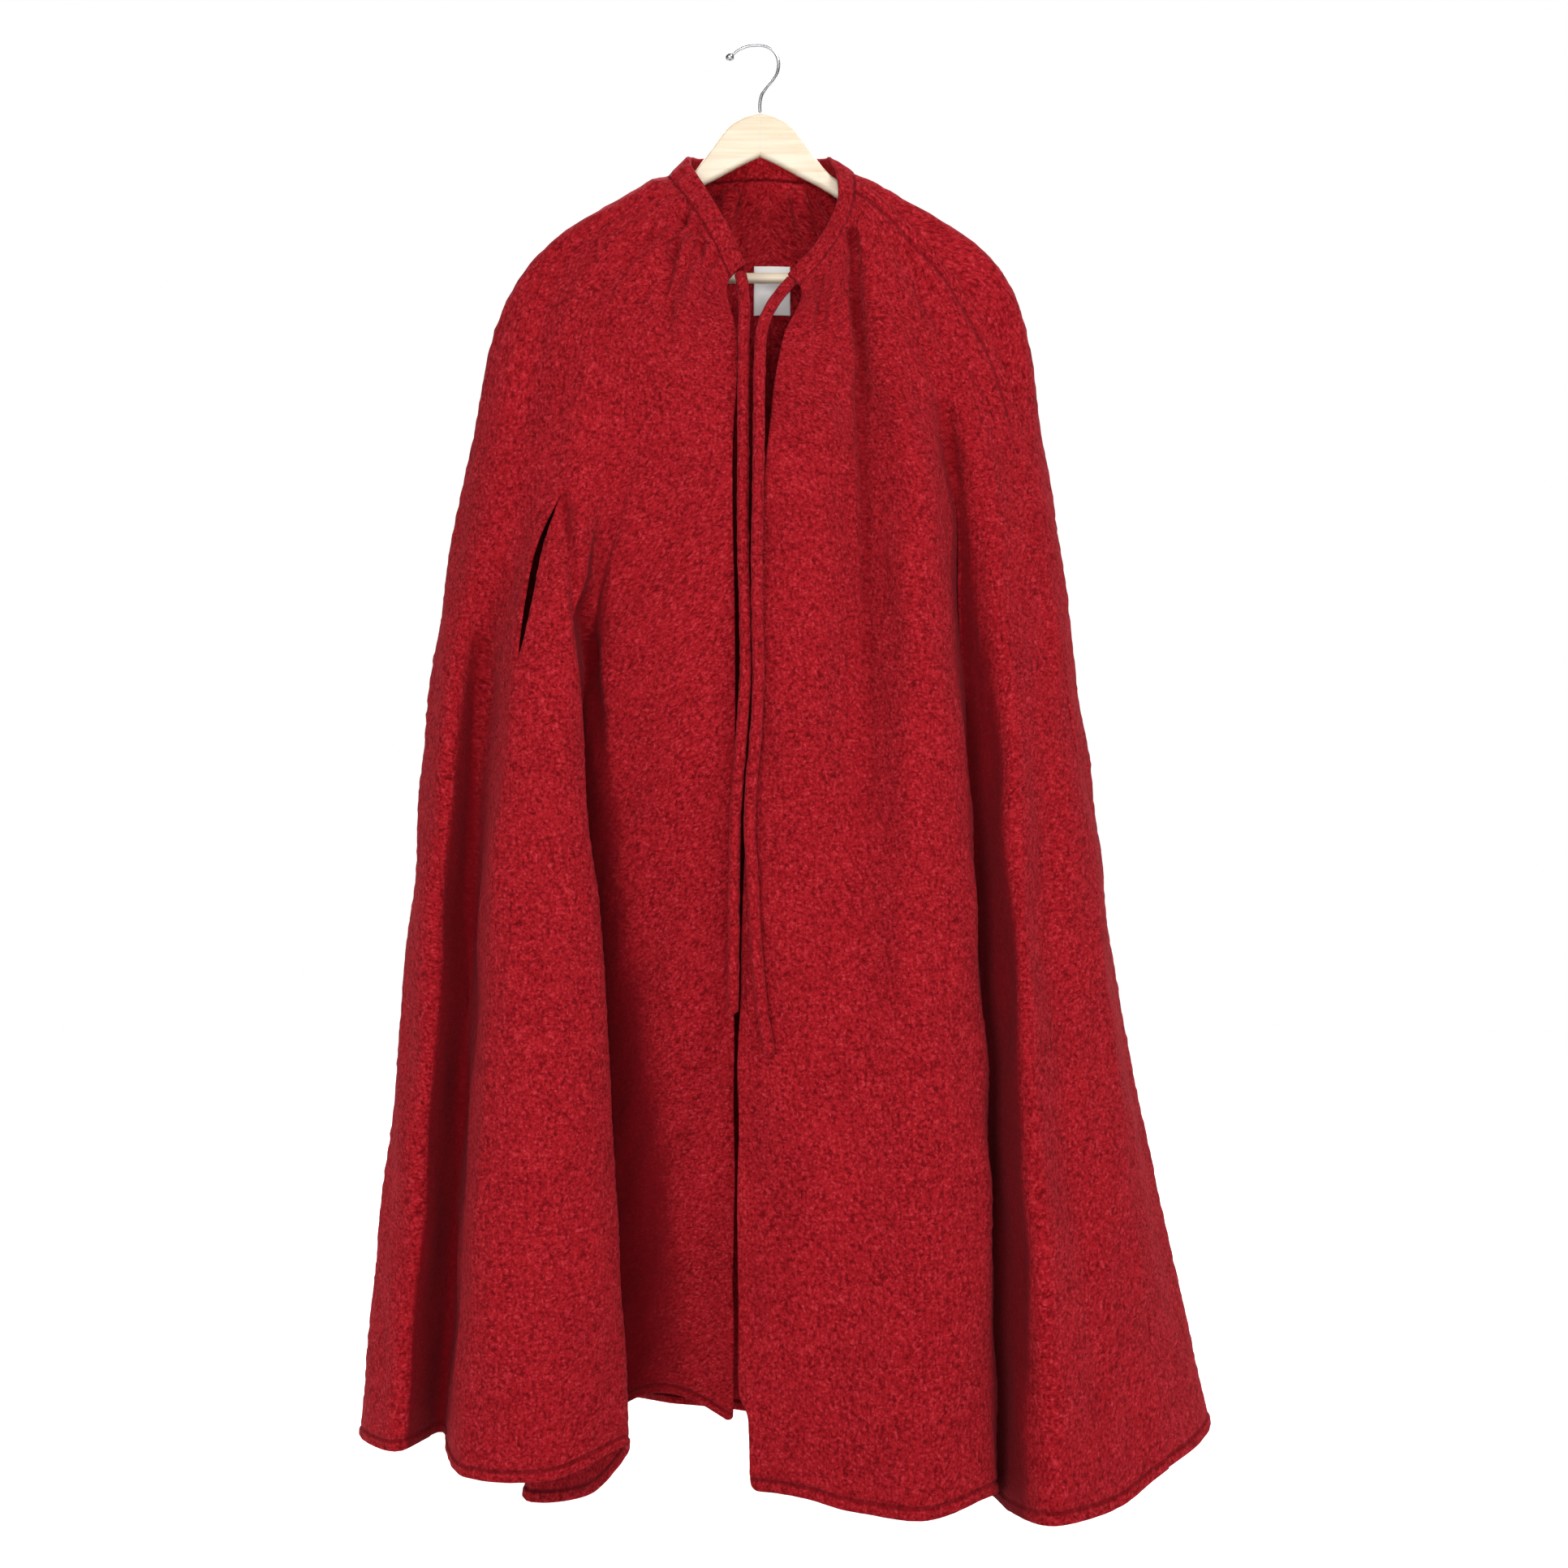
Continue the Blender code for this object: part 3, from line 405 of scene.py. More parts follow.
# The folds, in order from the right front edge. "neck" is the share of the neck edge at
# which a fold starts. Then come its place at the shoulder, and its x and y lower down.
Fold = namedtuple("Fold", "name neck shoulder_x shoulder_y shoulder_z chest_x chest_y "
                          "elbow_x elbow_y knee_x knee_y hem_x hem_y hem_z")
RIGHT_FOLDS = (
    Fold("right_edge", 0.000, -0.015, -0.070, -0.283, -0.019, -0.082, -0.017, -0.082,
         -0.018, -0.078, -0.019, -0.062, -1.275),
    Fold("right_front", 0.045, -0.045, -0.066, -0.271, -0.049, -0.080, -0.062, -0.080,
         -0.053, -0.066, -0.050, -0.046, -1.260),
    Fold("right_recess", 0.085, -0.070, -0.060, -0.259, -0.086, -0.077, -0.121, -0.066,
         -0.100, -0.046, -0.098, -0.020, -1.256),
    Fold("right_valley", 0.110, -0.087, -0.056, -0.251, -0.109, -0.073, -0.150, -0.050,
         -0.178, -0.004, -0.216, 0.004, -1.360),
    Fold("right_under", 0.127, -0.101, -0.052, -0.245, -0.125, -0.073, -0.158, -0.066,
         -0.160, -0.050, -0.150, -0.050, -1.342),
    Fold("right_fold_edge", 0.143, -0.114, -0.048, -0.239, -0.138, -0.074, -0.155, -0.090,
         -0.130, -0.096, -0.114, -0.092, -1.288),
    Fold("right_fold", 0.158, -0.127, -0.045, -0.236, -0.148, -0.075, -0.171, -0.105,
         -0.172, -0.132, -0.178, -0.138, -1.307),
    Fold("right_slit", 0.190, -0.140, -0.040, -0.232, -0.163, -0.074, -0.206, -0.098,
         -0.238, -0.118, -0.260, -0.120, -1.308),
    Fold("right_trough", 0.205, -0.169, -0.032, -0.224, -0.204, -0.058, -0.243, -0.055,
         -0.266, -0.038, -0.290, -0.032, -1.289),
    Fold("right_crest", 0.226, -0.194, -0.020, -0.218, -0.237, -0.048, -0.268, -0.062,
         -0.298, -0.076, -0.323, -0.082, -1.295),
    Fold("right_side_front", 0.255, -0.213, -0.008, -0.213, -0.263, -0.016, -0.292, -0.020,
         -0.330, -0.026, -0.364, -0.028, -1.295),
    Fold("right_side_back", 0.292, -0.213, 0.008, -0.213, -0.263, 0.006, -0.291, 0.008,
         -0.328, 0.010, -0.363, 0.010, -1.297),
    Fold("right_seam", 0.318, -0.209, 0.020, -0.217, -0.258, 0.024, -0.283, 0.030,
         -0.320, 0.040, -0.348, 0.046, -1.305),
)
LEFT_FOLDS = (
    Fold("left_side_back", 0.690, 0.229, 0.008, -0.209, 0.272, 0.010, 0.295, 0.010,
         0.352, 0.008, 0.426, 0.000, -1.290),
    Fold("left_side_front", 0.722, 0.226, -0.008, -0.213, 0.267, -0.006, 0.291, -0.008,
         0.346, -0.016, 0.410, -0.030, -1.301),
    Fold("left_seam", 0.748, 0.200, -0.018, -0.242, 0.254, -0.022, 0.281, -0.030,
         0.331, -0.054, 0.376, -0.070, -1.314),
    Fold("left_shallow", 0.768, 0.182, -0.030, -0.246, 0.230, -0.038, 0.252, -0.056,
         0.280, -0.094, 0.323, -0.112, -1.340),
    Fold("left_crest", 0.783, 0.165, -0.037, -0.249, 0.211, -0.050, 0.226, -0.072,
         0.247, -0.120, 0.266, -0.146, -1.346),
    Fold("left_wall", 0.796, 0.152, -0.042, -0.252, 0.196, -0.050, 0.208, -0.057,
         0.232, -0.088, 0.242, -0.118, -1.347),
    Fold("left_valley", 0.807, 0.141, -0.046, -0.255, 0.180, -0.042, 0.189, -0.043,
         0.211, -0.038, 0.221, -0.050, -1.345),
    Fold("left_fold_edge", 0.818, 0.130, -0.050, -0.257, 0.169, -0.058, 0.179, -0.080,
         0.204, -0.100, 0.213, -0.114, -1.327),
    Fold("left_fold", 0.832, 0.114, -0.056, -0.261, 0.139, -0.078, 0.144, -0.100,
         0.146, -0.134, 0.152, -0.150, -1.340),
    Fold("left_trough", 0.854, 0.093, -0.051, -0.265, 0.100, -0.057, 0.102, -0.070,
         0.096, -0.118, 0.092, -0.134, -1.337),
    Fold("left_front", 0.915, 0.064, -0.066, -0.273, 0.063, -0.082, 0.055, -0.094,
         0.041, -0.112, 0.041, -0.120, -1.327),
    Fold("left_edge", 1.000, 0.027, -0.068, -0.282, 0.013, -0.082, 0.002, -0.088,
         -0.014, -0.090, -0.011, -0.097, -1.326),
)

# The back hangs in even waves between the two sides: each row is the share of the way
# across, how far the wave stands out behind at the hem, and how much its hem is raised
BackFold = namedtuple("BackFold", "name across depth hem_rise")
BACK_FOLDS = (
    BackFold("back_1", 0.080, 0.040, 0.000),
    BackFold("back_2", 0.170, -0.028, -0.006),
    BackFold("back_3", 0.265, 0.046, 0.004),
    BackFold("back_4", 0.355, -0.034, 0.016),
    BackFold("back_5", 0.440, 0.032, -0.006),
    BackFold("back_centre", 0.510, -0.022, -0.004),
    BackFold("back_7", 0.590, 0.044, 0.003),
    BackFold("back_8", 0.680, -0.036, -0.005),
    BackFold("back_9", 0.775, 0.048, 0.005),
    BackFold("back_10", 0.860, -0.028, -0.004),
    BackFold("back_11", 0.935, 0.026, 0.000),
)
# The back between the sides, from the shoulder to the hem
BackLevel = namedtuple("BackLevel", "right_x left_x y z wave")
BACK_LEVELS = (
    BackLevel(-0.205, 0.225, 0.032, -0.232, 0.05),
    BackLevel(-0.256, 0.270, 0.044, CHEST_Z, 0.20),
    BackLevel(-0.282, 0.292, 0.050, ELBOW_Z, 0.40),
    BackLevel(-0.318, 0.348, 0.064, KNEE_Z, 0.80),
    BackLevel(-0.346, 0.420, 0.078, -1.296, 1.00),
)

# Gathers under the neckband: the share of the neck edge, half the width as such a share,
# how deep the groove is (below 0 it stands out), and how far down it fades
Gather = namedtuple("Gather", "neck half depth fade")
GATHERS = (
    Gather(0.022, 0.007, 0.002, 0.05), Gather(0.055, 0.007, 0.003, 0.08),
    Gather(0.092, 0.009, 0.005, 0.12), Gather(0.13, 0.008, 0.0045, 0.11),
    Gather(0.168, 0.009, 0.0025, 0.06), Gather(0.272, 0.045, -0.0075, 0.085),
    Gather(0.345, 0.012, 0.003, 0.07), Gather(0.39, 0.012, 0.004, 0.1), Gather(0.44, 0.012, 0.0035, 0.08),
    Gather(0.48, 0.01, 0.003, 0.07), Gather(0.56, 0.012, 0.004, 0.09), Gather(0.61, 0.012, 0.0035, 0.1),
    Gather(0.655, 0.011, 0.003, 0.07), Gather(0.748, 0.04, -0.004, 0.085),
    Gather(0.852, 0.009, 0.006, 0.2), Gather(0.882, 0.009, 0.0035, 0.09),
    Gather(0.925, 0.009, 0.0045, 0.11), Gather(0.962, 0.008, 0.003, 0.07),
)

# Distance down the cloth of each level, from the top edge of the band
V_TOP, V_NECK, V_SHOULDER, V_CHEST, V_ELBOW, V_KNEE, V_HEM = 0.0, 0.023, 0.13, 0.26, 0.43, 0.83, 1.18
V_KNOTS = np.array([V_TOP, V_NECK, V_SHOULDER, V_CHEST, V_ELBOW, V_KNEE, V_HEM])
SLIT_TOP, SLIT_FOOT = 0.304, 0.455
LABEL_FOOT = 0.138              # the cloth behind the label lies flat down to here
HEM_ROWS = (0.0185, 0.0155, 0.0135, 0.0120, 0.0110, 0.0102, 0.0095, 0.0088, 0.0078, 0.0064, 0.0048, 0.0034,
            0.0022, 0.0012, 0.0005, 0.0)    # heights above the hem's edge


# Creases on the hanging cloth: the folds between which each lies, half its
# width, its depth where it starts, half way and where it ends, and its line in x and z
Crease = namedtuple("Crease", "first last half start middle end line")
CREASES = (
    Crease("left_fold", "left_edge", 0.005, 0.009, 0.0085, 0.002, ((0.09, -0.154), (0.09, -0.196),
           (0.093, -0.235), (0.095, -0.267), (0.099, -0.3), (0.099, -0.36), (0.101, -0.434),
           (0.102, -0.493), (0.104, -0.567), (0.106, -0.686))),
    Crease("left_trough", "left_edge", 0.006, 0.0085, 0.0043, 0.0, ((0.061, -0.226), (0.061, -0.257),
           (0.059, -0.33))),
    Crease("left_trough", "left_edge", 0.005, 0.005, 0.0025, 0.0, ((0.043, -0.24), (0.042, -0.27),
           (0.04, -0.31))),
    Crease("left_crest", "left_trough", 0.011, 0.005, 0.005, 0.0, ((0.16, -0.235), (0.172, -0.262),
           (0.181, -0.295), (0.178, -0.345), (0.178, -0.4), (0.18, -0.47), (0.184, -0.54),
           (0.188, -0.6))),
    Crease("left_seam", "left_fold", 0.015, 0.006, 0.0045, 0.003, ((0.14, -0.2), (0.16, -0.24),
           (0.185, -0.275))),
    Crease("left_seam", "left_valley", 0.018, 0.001, 0.006, 0.0, ((0.23, -0.393), (0.235, -0.496),
           (0.244, -0.613))),
    Crease("left_side_front", "left_crest", 0.02, 0.001, 0.009, 0.004, ((0.252, -0.52), (0.261, -0.686),
           (0.264, -0.773), (0.271, -0.934), (0.286, -1.022), (0.301, -1.109))),
    Crease("right_front", "right_slit", 0.0055, 0.014, 0.0085, 0.003, ((-0.06, -0.15), (-0.068, -0.173),
           (-0.073, -0.186), (-0.078, -0.213), (-0.08, -0.228), (-0.078, -0.274))),
    Crease("right_front", "right_fold", 0.005, 0.01, 0.005, 0.0, ((-0.052, -0.171), (-0.05, -0.195),
           (-0.048, -0.235))),
    Crease("right_front", "right_fold", 0.0045, 0.006, 0.003, 0.0, ((-0.034, -0.2), (-0.036, -0.235),
           (-0.04, -0.28))),
    Crease("right_fold", "right_crest", 0.012, 0.008, 0.004, 0.0, ((-0.096, -0.19), (-0.129, -0.223),
           (-0.16, -0.234))),
    Crease("right_fold", "right_side_front", 0.016, 0.002, 0.004, 0.006, ((-0.18, -0.226),
           (-0.201, -0.283), (-0.214, -0.36))),
    Crease("right_under", "right_slit", 0.0042, 0.006, 0.007, 0.002, ((-0.185, -0.423),
           (-0.172, -0.437))),
    Crease("right_recess", "right_slit", 0.007, 0.011, 0.0105, 0.0, ((-0.172, -0.437), (-0.169, -0.465),
           (-0.163, -0.495), (-0.156, -0.531), (-0.151, -0.568), (-0.144, -0.62), (-0.136, -0.69))),
    Crease("right_slit", "right_side_front", 0.015, 0.003, 0.0085, 0.002, ((-0.254, -0.44),
           (-0.253, -0.477), (-0.248, -0.537), (-0.248, -0.596), (-0.252, -0.7), (-0.262, -0.82))),
    Crease("back_1", "back_3", 0.008, 0.009, 0.0045, 0.0, ((-0.048, -0.135), (-0.075, -0.19),
           (-0.098, -0.29))),
    Crease("back_2", "back_5", 0.0085, 0.01, 0.005, 0.0, ((-0.022, -0.13), (-0.034, -0.22),
           (-0.044, -0.36))),
    Crease("back_5", "back_centre", 0.006, 0.005, 0.0025, 0.0, ((-0.006, -0.15), (-0.01, -0.225))),
    Crease("back_centre", "back_8", 0.0085, 0.01, 0.005, 0.0, ((0.04, -0.132), (0.052, -0.2),
           (0.06, -0.34))),
    Crease("back_8", "back_10", 0.008, 0.008, 0.004, 0.0, ((0.068, -0.138), (0.096, -0.2),
           (0.124, -0.3))),
    Crease("back_1", "back_4", 0.018, 0.002, 0.005, 0.008, ((-0.196, -0.52), (-0.214, -0.76),
           (-0.226, -1.05))),
    Crease("back_8", "back_11", 0.019, 0.002, 0.0055, 0.009, ((0.214, -0.48), (0.24, -0.74),
           (0.262, -1.08))),
)


def neck_curves():
    """Share of the neck edge at each row of NECK, and the two curves' points."""
    seam = np.array([[p.seam_x, p.seam_y, p.seam_z] for p in NECK])
    top = np.array([[p.top_x, p.top_y, p.top_z] for p in NECK])
    share = running_length(seam)
    return share / share[-1], seam, top


def fold_lines():
    """Each fold's name, its share of the neck edge, and its points at the seven levels."""
    share, seam, top = neck_curves()
    first, last = RIGHT_FOLDS[-1].neck, LEFT_FOLDS[0].neck
    rows = []
    for fold in RIGHT_FOLDS + BACK_FOLDS + LEFT_FOLDS:
        if isinstance(fold, BackFold):
            neck = first + fold.across * (last - first)
            lower = [(level.right_x + fold.across * (level.left_x - level.right_x),
                      level.y + level.wave * fold.depth,
                      level.z + fold.hem_rise * (level is BACK_LEVELS[-1])) for level in BACK_LEVELS]
        else:
            neck = fold.neck
            lower = [(fold.shoulder_x, fold.shoulder_y, fold.shoulder_z),
                     (fold.chest_x, fold.chest_y, CHEST_Z), (fold.elbow_x, fold.elbow_y, ELBOW_Z),
                     (fold.knee_x, fold.knee_y, KNEE_Z), (fold.hem_x, fold.hem_y, fold.hem_z)]
        at = np.array([neck])
        upper = [tuple(hermite(share, curve, at)[0]) for curve in (top, seam)]
        rows.append((fold.name, neck, upper + lower))
    names, necks, lines = zip(*rows)
    return list(names), np.array(necks), np.array(lines)


# Round the cape, u goes by the width from each fold to the next, at the knee and the hem.
# Its power below 1 gives the narrow folds more room.
NAMES, NECK_SHARES, LINES = fold_lines()
HEM_CHORDS = np.linalg.norm(np.diff(LINES[:, 6], axis=0), axis=1)
KNEE_CHORDS = np.linalg.norm(np.diff(LINES[:, 5], axis=0), axis=1)
U_KNOTS = np.concatenate([[0.0], np.cumsum((0.5 * (HEM_CHORDS + KNEE_CHORDS)) ** WIDTH_POWER)])
U_KNOTS = U_KNOTS / U_KNOTS[-1]


def u_of(name):
    """The u of a fold."""
    return U_KNOTS[NAMES.index(name)]


def fall(line, v):
    """A fold's line from the band to the hem, smooth in its own length, read at v."""
    length = running_length(line)
    return hermite(length, line, hermite(V_KNOTS, length[:, None], v)[:, 0])


def drape(u, v):
    """The smooth folds: the curve across the folds' lines at each row's v, read at u."""
    lines = np.array([fall(line, v[:, 0]) for line in LINES])
    return hermite(U_KNOTS, lines, u, np.arange(len(u))[:, None])


def directions(surface, u, v):
    """The surface's unit normals, and its length per unit of u, from points close by."""
    du, dv = 0.0002, 0.0005
    along = (surface(u + du, v) - surface(u - du, v)) / (2 * du)
    down = (surface(u, v + dv) - surface(u, v - dv)) / (2 * dv)
    normal = np.cross(along, down)
    return normal / np.linalg.norm(normal, axis=2, keepdims=True), np.linalg.norm(along, axis=2)


def smooth(share):
    """0 to 1 with level ends: 3s^2 - 2s^3 of the share held between 0 and 1."""
    held = np.clip(share, 0.0, 1.0)
    return held * held * (3 - 2 * held)


def gather_depth(u, v):
    """Depth of the gathers: grooves of bell section, full just under the band, then fading."""
    neck = np.interp(u, U_KNOTS, NECK_SHARES)
    below = np.clip(v - V_NECK, 0.0, None)
    depth = np.zeros_like(neck)
    for gather in GATHERS:
        across, down = (neck - gather.neck) / gather.half, below / gather.fade
        depth += gather.depth * np.exp(-across ** 2 - down ** 2)
    return depth * smooth(below / GATHER_START)


def cloth(u, v):
    """The middle of the cloth: the draped folds, less the gathers along the normal."""
    normal, _ = directions(drape, u, v)
    return drape(u, v) - normal * gather_depth(u, v)[:, :, None]


def crease_depth(u, place):
    """Depth of the creases: bells across the distance to each line in x and z.

    The nearest point of a piece of the line is its start plus t times its step, with t
    held between 0 and 1. The depth goes evenly from one of its three values to the next.
    """
    total = np.zeros(u.shape)
    flat = place[:, :, [0, 2]]
    for crease in CREASES:
        line = np.array(crease.line)
        steps = np.diff(line, axis=0)
        length = np.linalg.norm(steps, axis=1)
        done = np.concatenate([[0.0], np.cumsum(length)]) / length.sum()
        best, share = np.full(u.shape, 9.0), np.zeros(u.shape)
        for order, (start, step) in enumerate(zip(line, steps)):
            t = np.clip(((flat - start) @ step) / (step @ step), 0.0, 1.0)
            distance = np.linalg.norm(flat - start - t[:, :, None] * step, axis=2)
            share = np.where(distance < best, done[order] + t * (done[order + 1] - done[order]), share)
            best = np.minimum(best, distance)
        depth = np.interp(share, (0.0, 0.5, 1.0), (crease.start, crease.middle, crease.end))
        among = (u > u_of(crease.first)) & (u < u_of(crease.last))
        total += np.where(among, depth * np.exp(-(best / crease.half) ** 2), 0.0)
    return total


def hollows(points, normal):
    """How deep each point lies in a fold or behind cloth hanging in front, from the other points of its
    row.
    The wool shader paints this depth as shade.

    One share is its distance behind the mean of the points within HOLLOW_REACH. The mean is
    the difference of the running integral of the points over the row's length, read at both
    ends of the reach, over the length between them. The other is the most that any point
    stands out in front of it, less HOLLOW_SLOPE times how far to the side that point is.
    """
    depth = np.empty(points.shape[:2])
    for order, row in enumerate(points):
        length = running_length(row)
        pieces = (row[1:] + row[:-1]) / 2 * np.diff(length)[:, None]
        total = np.concatenate([np.zeros((1, 3)), np.cumsum(pieces, axis=0)])
        low = np.clip(length - HOLLOW_REACH, 0.0, length[-1])
        high = np.clip(length + HOLLOW_REACH, 0.0, length[-1])
        mean = np.stack([(np.interp(high, length, total[:, axis]) - np.interp(low, length, total[:, axis]))
                         / (high - low) for axis in range(3)], axis=-1)
        apart = row[None, :] - row[:, None]
        front = np.einsum("ijk,ik->ij", apart, normal[order])
        aside = np.sqrt(np.clip(np.einsum("ijk,ijk->ij", apart, apart) - front ** 2, 0.0, None))
        cover = np.max(front - HOLLOW_SLOPE * aside, axis=1)
        behind = np.sum((mean - row) * normal[order], axis=1)
        depth[order] = behind + HOLLOW_COVER * np.clip(cover, 0.0, None)
    return depth


def even_columns(first, last):
    """Values of u between two folds, evenly spaced along the cloth a little above the hem."""
    scan = np.linspace(u_of(first), u_of(last), 300)
    edge = drape(scan[None, :], np.full((1, 300), 1.0))[0]
    length = running_length(edge)
    return np.interp(np.linspace(0.0, length[-1], max(2, round(length[-1] / COLUMN_STEP))), length, scan)


def close_up(u, stretch, edge, step):
    """Moves the columns beside an edge up to it, by distances measured on the cloth."""
    count = len(EDGE_COLUMNS)
    room = np.abs(u[:, edge + step * (count + 1)] - u[:, edge])
    for order, distance in enumerate(EDGE_COLUMNS, 1):
        reach = np.minimum(distance / stretch[:, edge], room * order / (count + 1))
        u[:, edge + step * order] = u[:, edge] + step * reach


def wall_mesh(name, outer, inner, flat, stitch, finish, slit=None, hollow=None):
    """A closed wall between two grids of points, outer[row, column] and inner[row, column].

    With slit = (column, rows), it is cut between that column and the next on those rows,
    and the two columns are one everywhere else. Its rim runs round every open edge.
    """
    rows, columns = outer.shape[:2]
    number = np.arange(rows * columns).reshape(rows, columns)
    if slit is not None:
        lip, open_rows = slit
        closed = np.setdiff1d(np.arange(rows), open_rows)
        number[closed, lip + 1] = number[closed, lip]
    quads = np.stack([number[:-1, :-1], number[:-1, 1:], number[1:, 1:], number[1:, :-1]], axis=-1)
    if slit is not None:
        quads = np.delete(quads, lip, axis=1)
    quads = quads.reshape(-1, 4)
    shift = rows * columns
    edges = np.stack([quads, np.roll(quads, -1, axis=1)], axis=-1).reshape(-1, 2)
    forward, backward = edges @ (shift, 1), edges @ (1, shift)
    rim = edges[~np.isin(forward, backward)]
    sides = np.stack([rim[:, 1], rim[:, 0], rim[:, 0] + shift, rim[:, 1] + shift], axis=-1)
    faces = np.concatenate([quads, quads[:, ::-1] + shift, sides])
    used, faces = np.unique(faces, return_inverse=True)
    faces = faces.reshape(-1, 4)
    points = np.concatenate([outer.reshape(-1, 3), inner.reshape(-1, 3)])[used]
    flat = np.tile(flat.reshape(-1, 2), (2, 1))[used]
    values = {"stitch": np.tile(stitch.ravel(), 2)[used]}
    if hollow is not None:
        values["hollow"] = np.concatenate([hollow.ravel(), -hollow.ravel()])[used]
    return add_piece(name, points, faces.tolist(), flat[faces].reshape(-1, 2), finish, values)


def nearest(first, second):
    """Of two signed distances, the one that is closer to zero."""
    return np.where(np.abs(first) < np.abs(second), first, second)


def open_slit(u, stretch, rows, fold, lip, gap, bow):
    """Parts the columns beside a slit: the new u, its open rows and the distance from it.

    Half the gap is sin(pi s^1.2)^0.65 of its greatest half, where s is the share of the
    slit's height, and the cloth beside it makes way, less and less, up to SLIT_REACH.
    """
    share = np.clip((rows - SLIT_TOP) / (SLIT_FOOT - SLIT_TOP), 0.0, 1.0)
    half = gap / 2 * np.sin(np.pi * share ** 1.2) ** 0.65
    close_up(u, stretch, lip, -1)
    close_up(u, stretch, lip + 1, 1)
    side = np.where(np.arange(u.shape[1]) <= lip, -1.0, 1.0)[None, :]
    across = np.abs(u - u_of(fold)) * stretch[:, lip][:, None]
    sway = bow * (np.sin(np.pi * share) + 0.45 * np.sin(2 * np.pi * share))
    shift = (side * half[:, None] + sway[:, None]) * np.clip(1.0 - across / SLIT_REACH, 0.0, 1.0) ** 2
    return u + shift / stretch[:, lip][:, None], np.flatnonzero(half > 1e-6), across


def draw_in(u, v, stretch, column, way, turned_back):
    """Rounds the hem's corner at a front edge, above a foot that is turned back."""
    height = np.clip((V_HEM - v) / CORNER_RADIUS, 0.0, 1.0)
    inset = CORNER_RADIUS * (1.0 - np.sqrt(1.0 - (1.0 - height) ** 2))
    inset = inset + turned_back * smooth((FOOT_HEIGHT - (V_HEM - v)) / FOOT_BLEND)
    stretch = stretch[:, [column]]
    beside = np.clip(1.0 - np.abs(u - u[:, [column]]) * stretch / CORNER_SPREAD, 0.0, 1.0)
    return u + way * inset * beside / stretch


def add_panel(name, node, first, last, seed, slit_fold=None, slit_gap=0.0, slit_bow=0.0,
              calm_to=V_NECK, turned_back=0.0, welted=False):
    """One panel between two folds, with its hem, its slit, its seam's welt and its edges."""
    body_rows = np.arange(V_NECK - SEAM_LAP, V_HEM - HEM_ROWS[0] - ROW_STEP / 2, ROW_STEP)
    rows = np.concatenate([body_rows, V_HEM - np.array(HEM_ROWS)])
    lip = None
    if slit_fold is None:
        values = even_columns(first, last)
    else:
        before, after = even_columns(first, slit_fold), even_columns(slit_fold, last)
        lip = len(before) - 1
        values = np.concatenate([before, after])
    u = np.repeat(values[None, :], len(rows), axis=0)
    v = np.repeat(rows[:, None], len(values), axis=1)
    _, stretch = directions(cloth, u, v)
    u[:, 0] -= (first != "right_edge") * SEAM_LAP / stretch[:, 0]
    u[:, -1] += (last != "left_edge") * SEAM_LAP / stretch[:, -1]
    close_up(u, stretch, 0, 1)
    close_up(u, stretch, len(values) - 1, -1)
    slit = None
    if lip is not None:
        u, open_rows, across = open_slit(u, stretch, rows, slit_fold, lip, slit_gap, slit_bow)
        slit = (lip, open_rows)
    if first == "right_edge":
        u = draw_in(u, v, stretch, 0, 1.0, turned_back)
    if last == "left_edge":
        u = draw_in(u, v, stretch, -1, -1.0, turned_back)
    middle = cloth(u, v)
    normal, _ = directions(cloth, u, v)
    from_first = np.array([running_length(row) for row in middle])
    to_last = from_first[:, -1:] - from_first
    flat = np.stack([from_first - from_first[:, [u.shape[1] // 2]], v], axis=-1)
    above_hem = V_HEM - v

    # the long waves and small lumps of the hanging cloth
    calm = smooth((v - calm_to) / CALM_BLEND) * (0.4 + 0.6 * smooth(above_hem / CALM_BLEND))
    shift = SOFT_RIPPLE * calm * ripples(flat[:, :, 0], v * 0.45, 0.035, 0.110, 26, seed)
    shift -= crease_depth(u, middle) * smooth((v - V_NECK) / GATHER_START)
    lumps = FINE_RIPPLE * ripples(flat[:, :, 0], v, 0.009, 0.020, 60, seed + 1)
    # the sewn lines: the hem's, the slit's and the shoulder's
    stitch = above_hem - HEM_TURN
    if lip is not None:
        beside_slit = np.abs((v - SLIT_TOP) / (SLIT_FOOT - SLIT_TOP) - 0.5) < 0.5
        stitch = nearest(stitch, np.where(beside_slit, np.abs(across - SLIT_WELT) + SLIT_FAINT, 1.0))
    if welted:
        stitch = nearest(stitch, np.abs(from_first - SEAM_WELT) + 0.003 * smooth((v - 0.22) / 0.14))
    # the wall: fuller in the hem and the welt, pinched at the stitches, rounded at the edges
    half_wall = CLOTH / 2 + (HEM_CLOTH - CLOTH) / 2 * smooth((HEM_TURN + 0.0005 - above_hem) / 0.002)
    if welted:
        half_wall = half_wall + SEAM_RISE * smooth((SEAM_WELT - from_first) / 0.002 + 0.5)
    half_wall = half_wall - STITCH_PINCH * np.exp(-(stitch / STITCH_REACH) ** 2)
    edge = np.minimum(np.minimum(from_first, to_last), above_hem)
    if lip is not None:
        edge = np.where(beside_slit, np.minimum(edge, np.abs(across)), edge)
    rounding = np.sqrt(1.0 - (1.0 - np.clip(edge / EDGE_ROUND, 0.0, 1.0)) ** 2)
    half_wall = half_wall * (EDGE_THIN + (1.0 - EDGE_THIN) * rounding)
    outer = middle + normal * (shift + half_wall + lumps)[:, :, None]
    inner = middle + normal * (shift - half_wall - lumps * 0.5)[:, :, None]
    # how deep each point lies in a fold, for the painted shade there
    hollow = hollows(middle + normal * shift[:, :, None], normal)
    piece = wall_mesh(name, outer, inner, flat, stitch, WOOL, slit, hollow)
    place_piece(piece, node)
    return piece


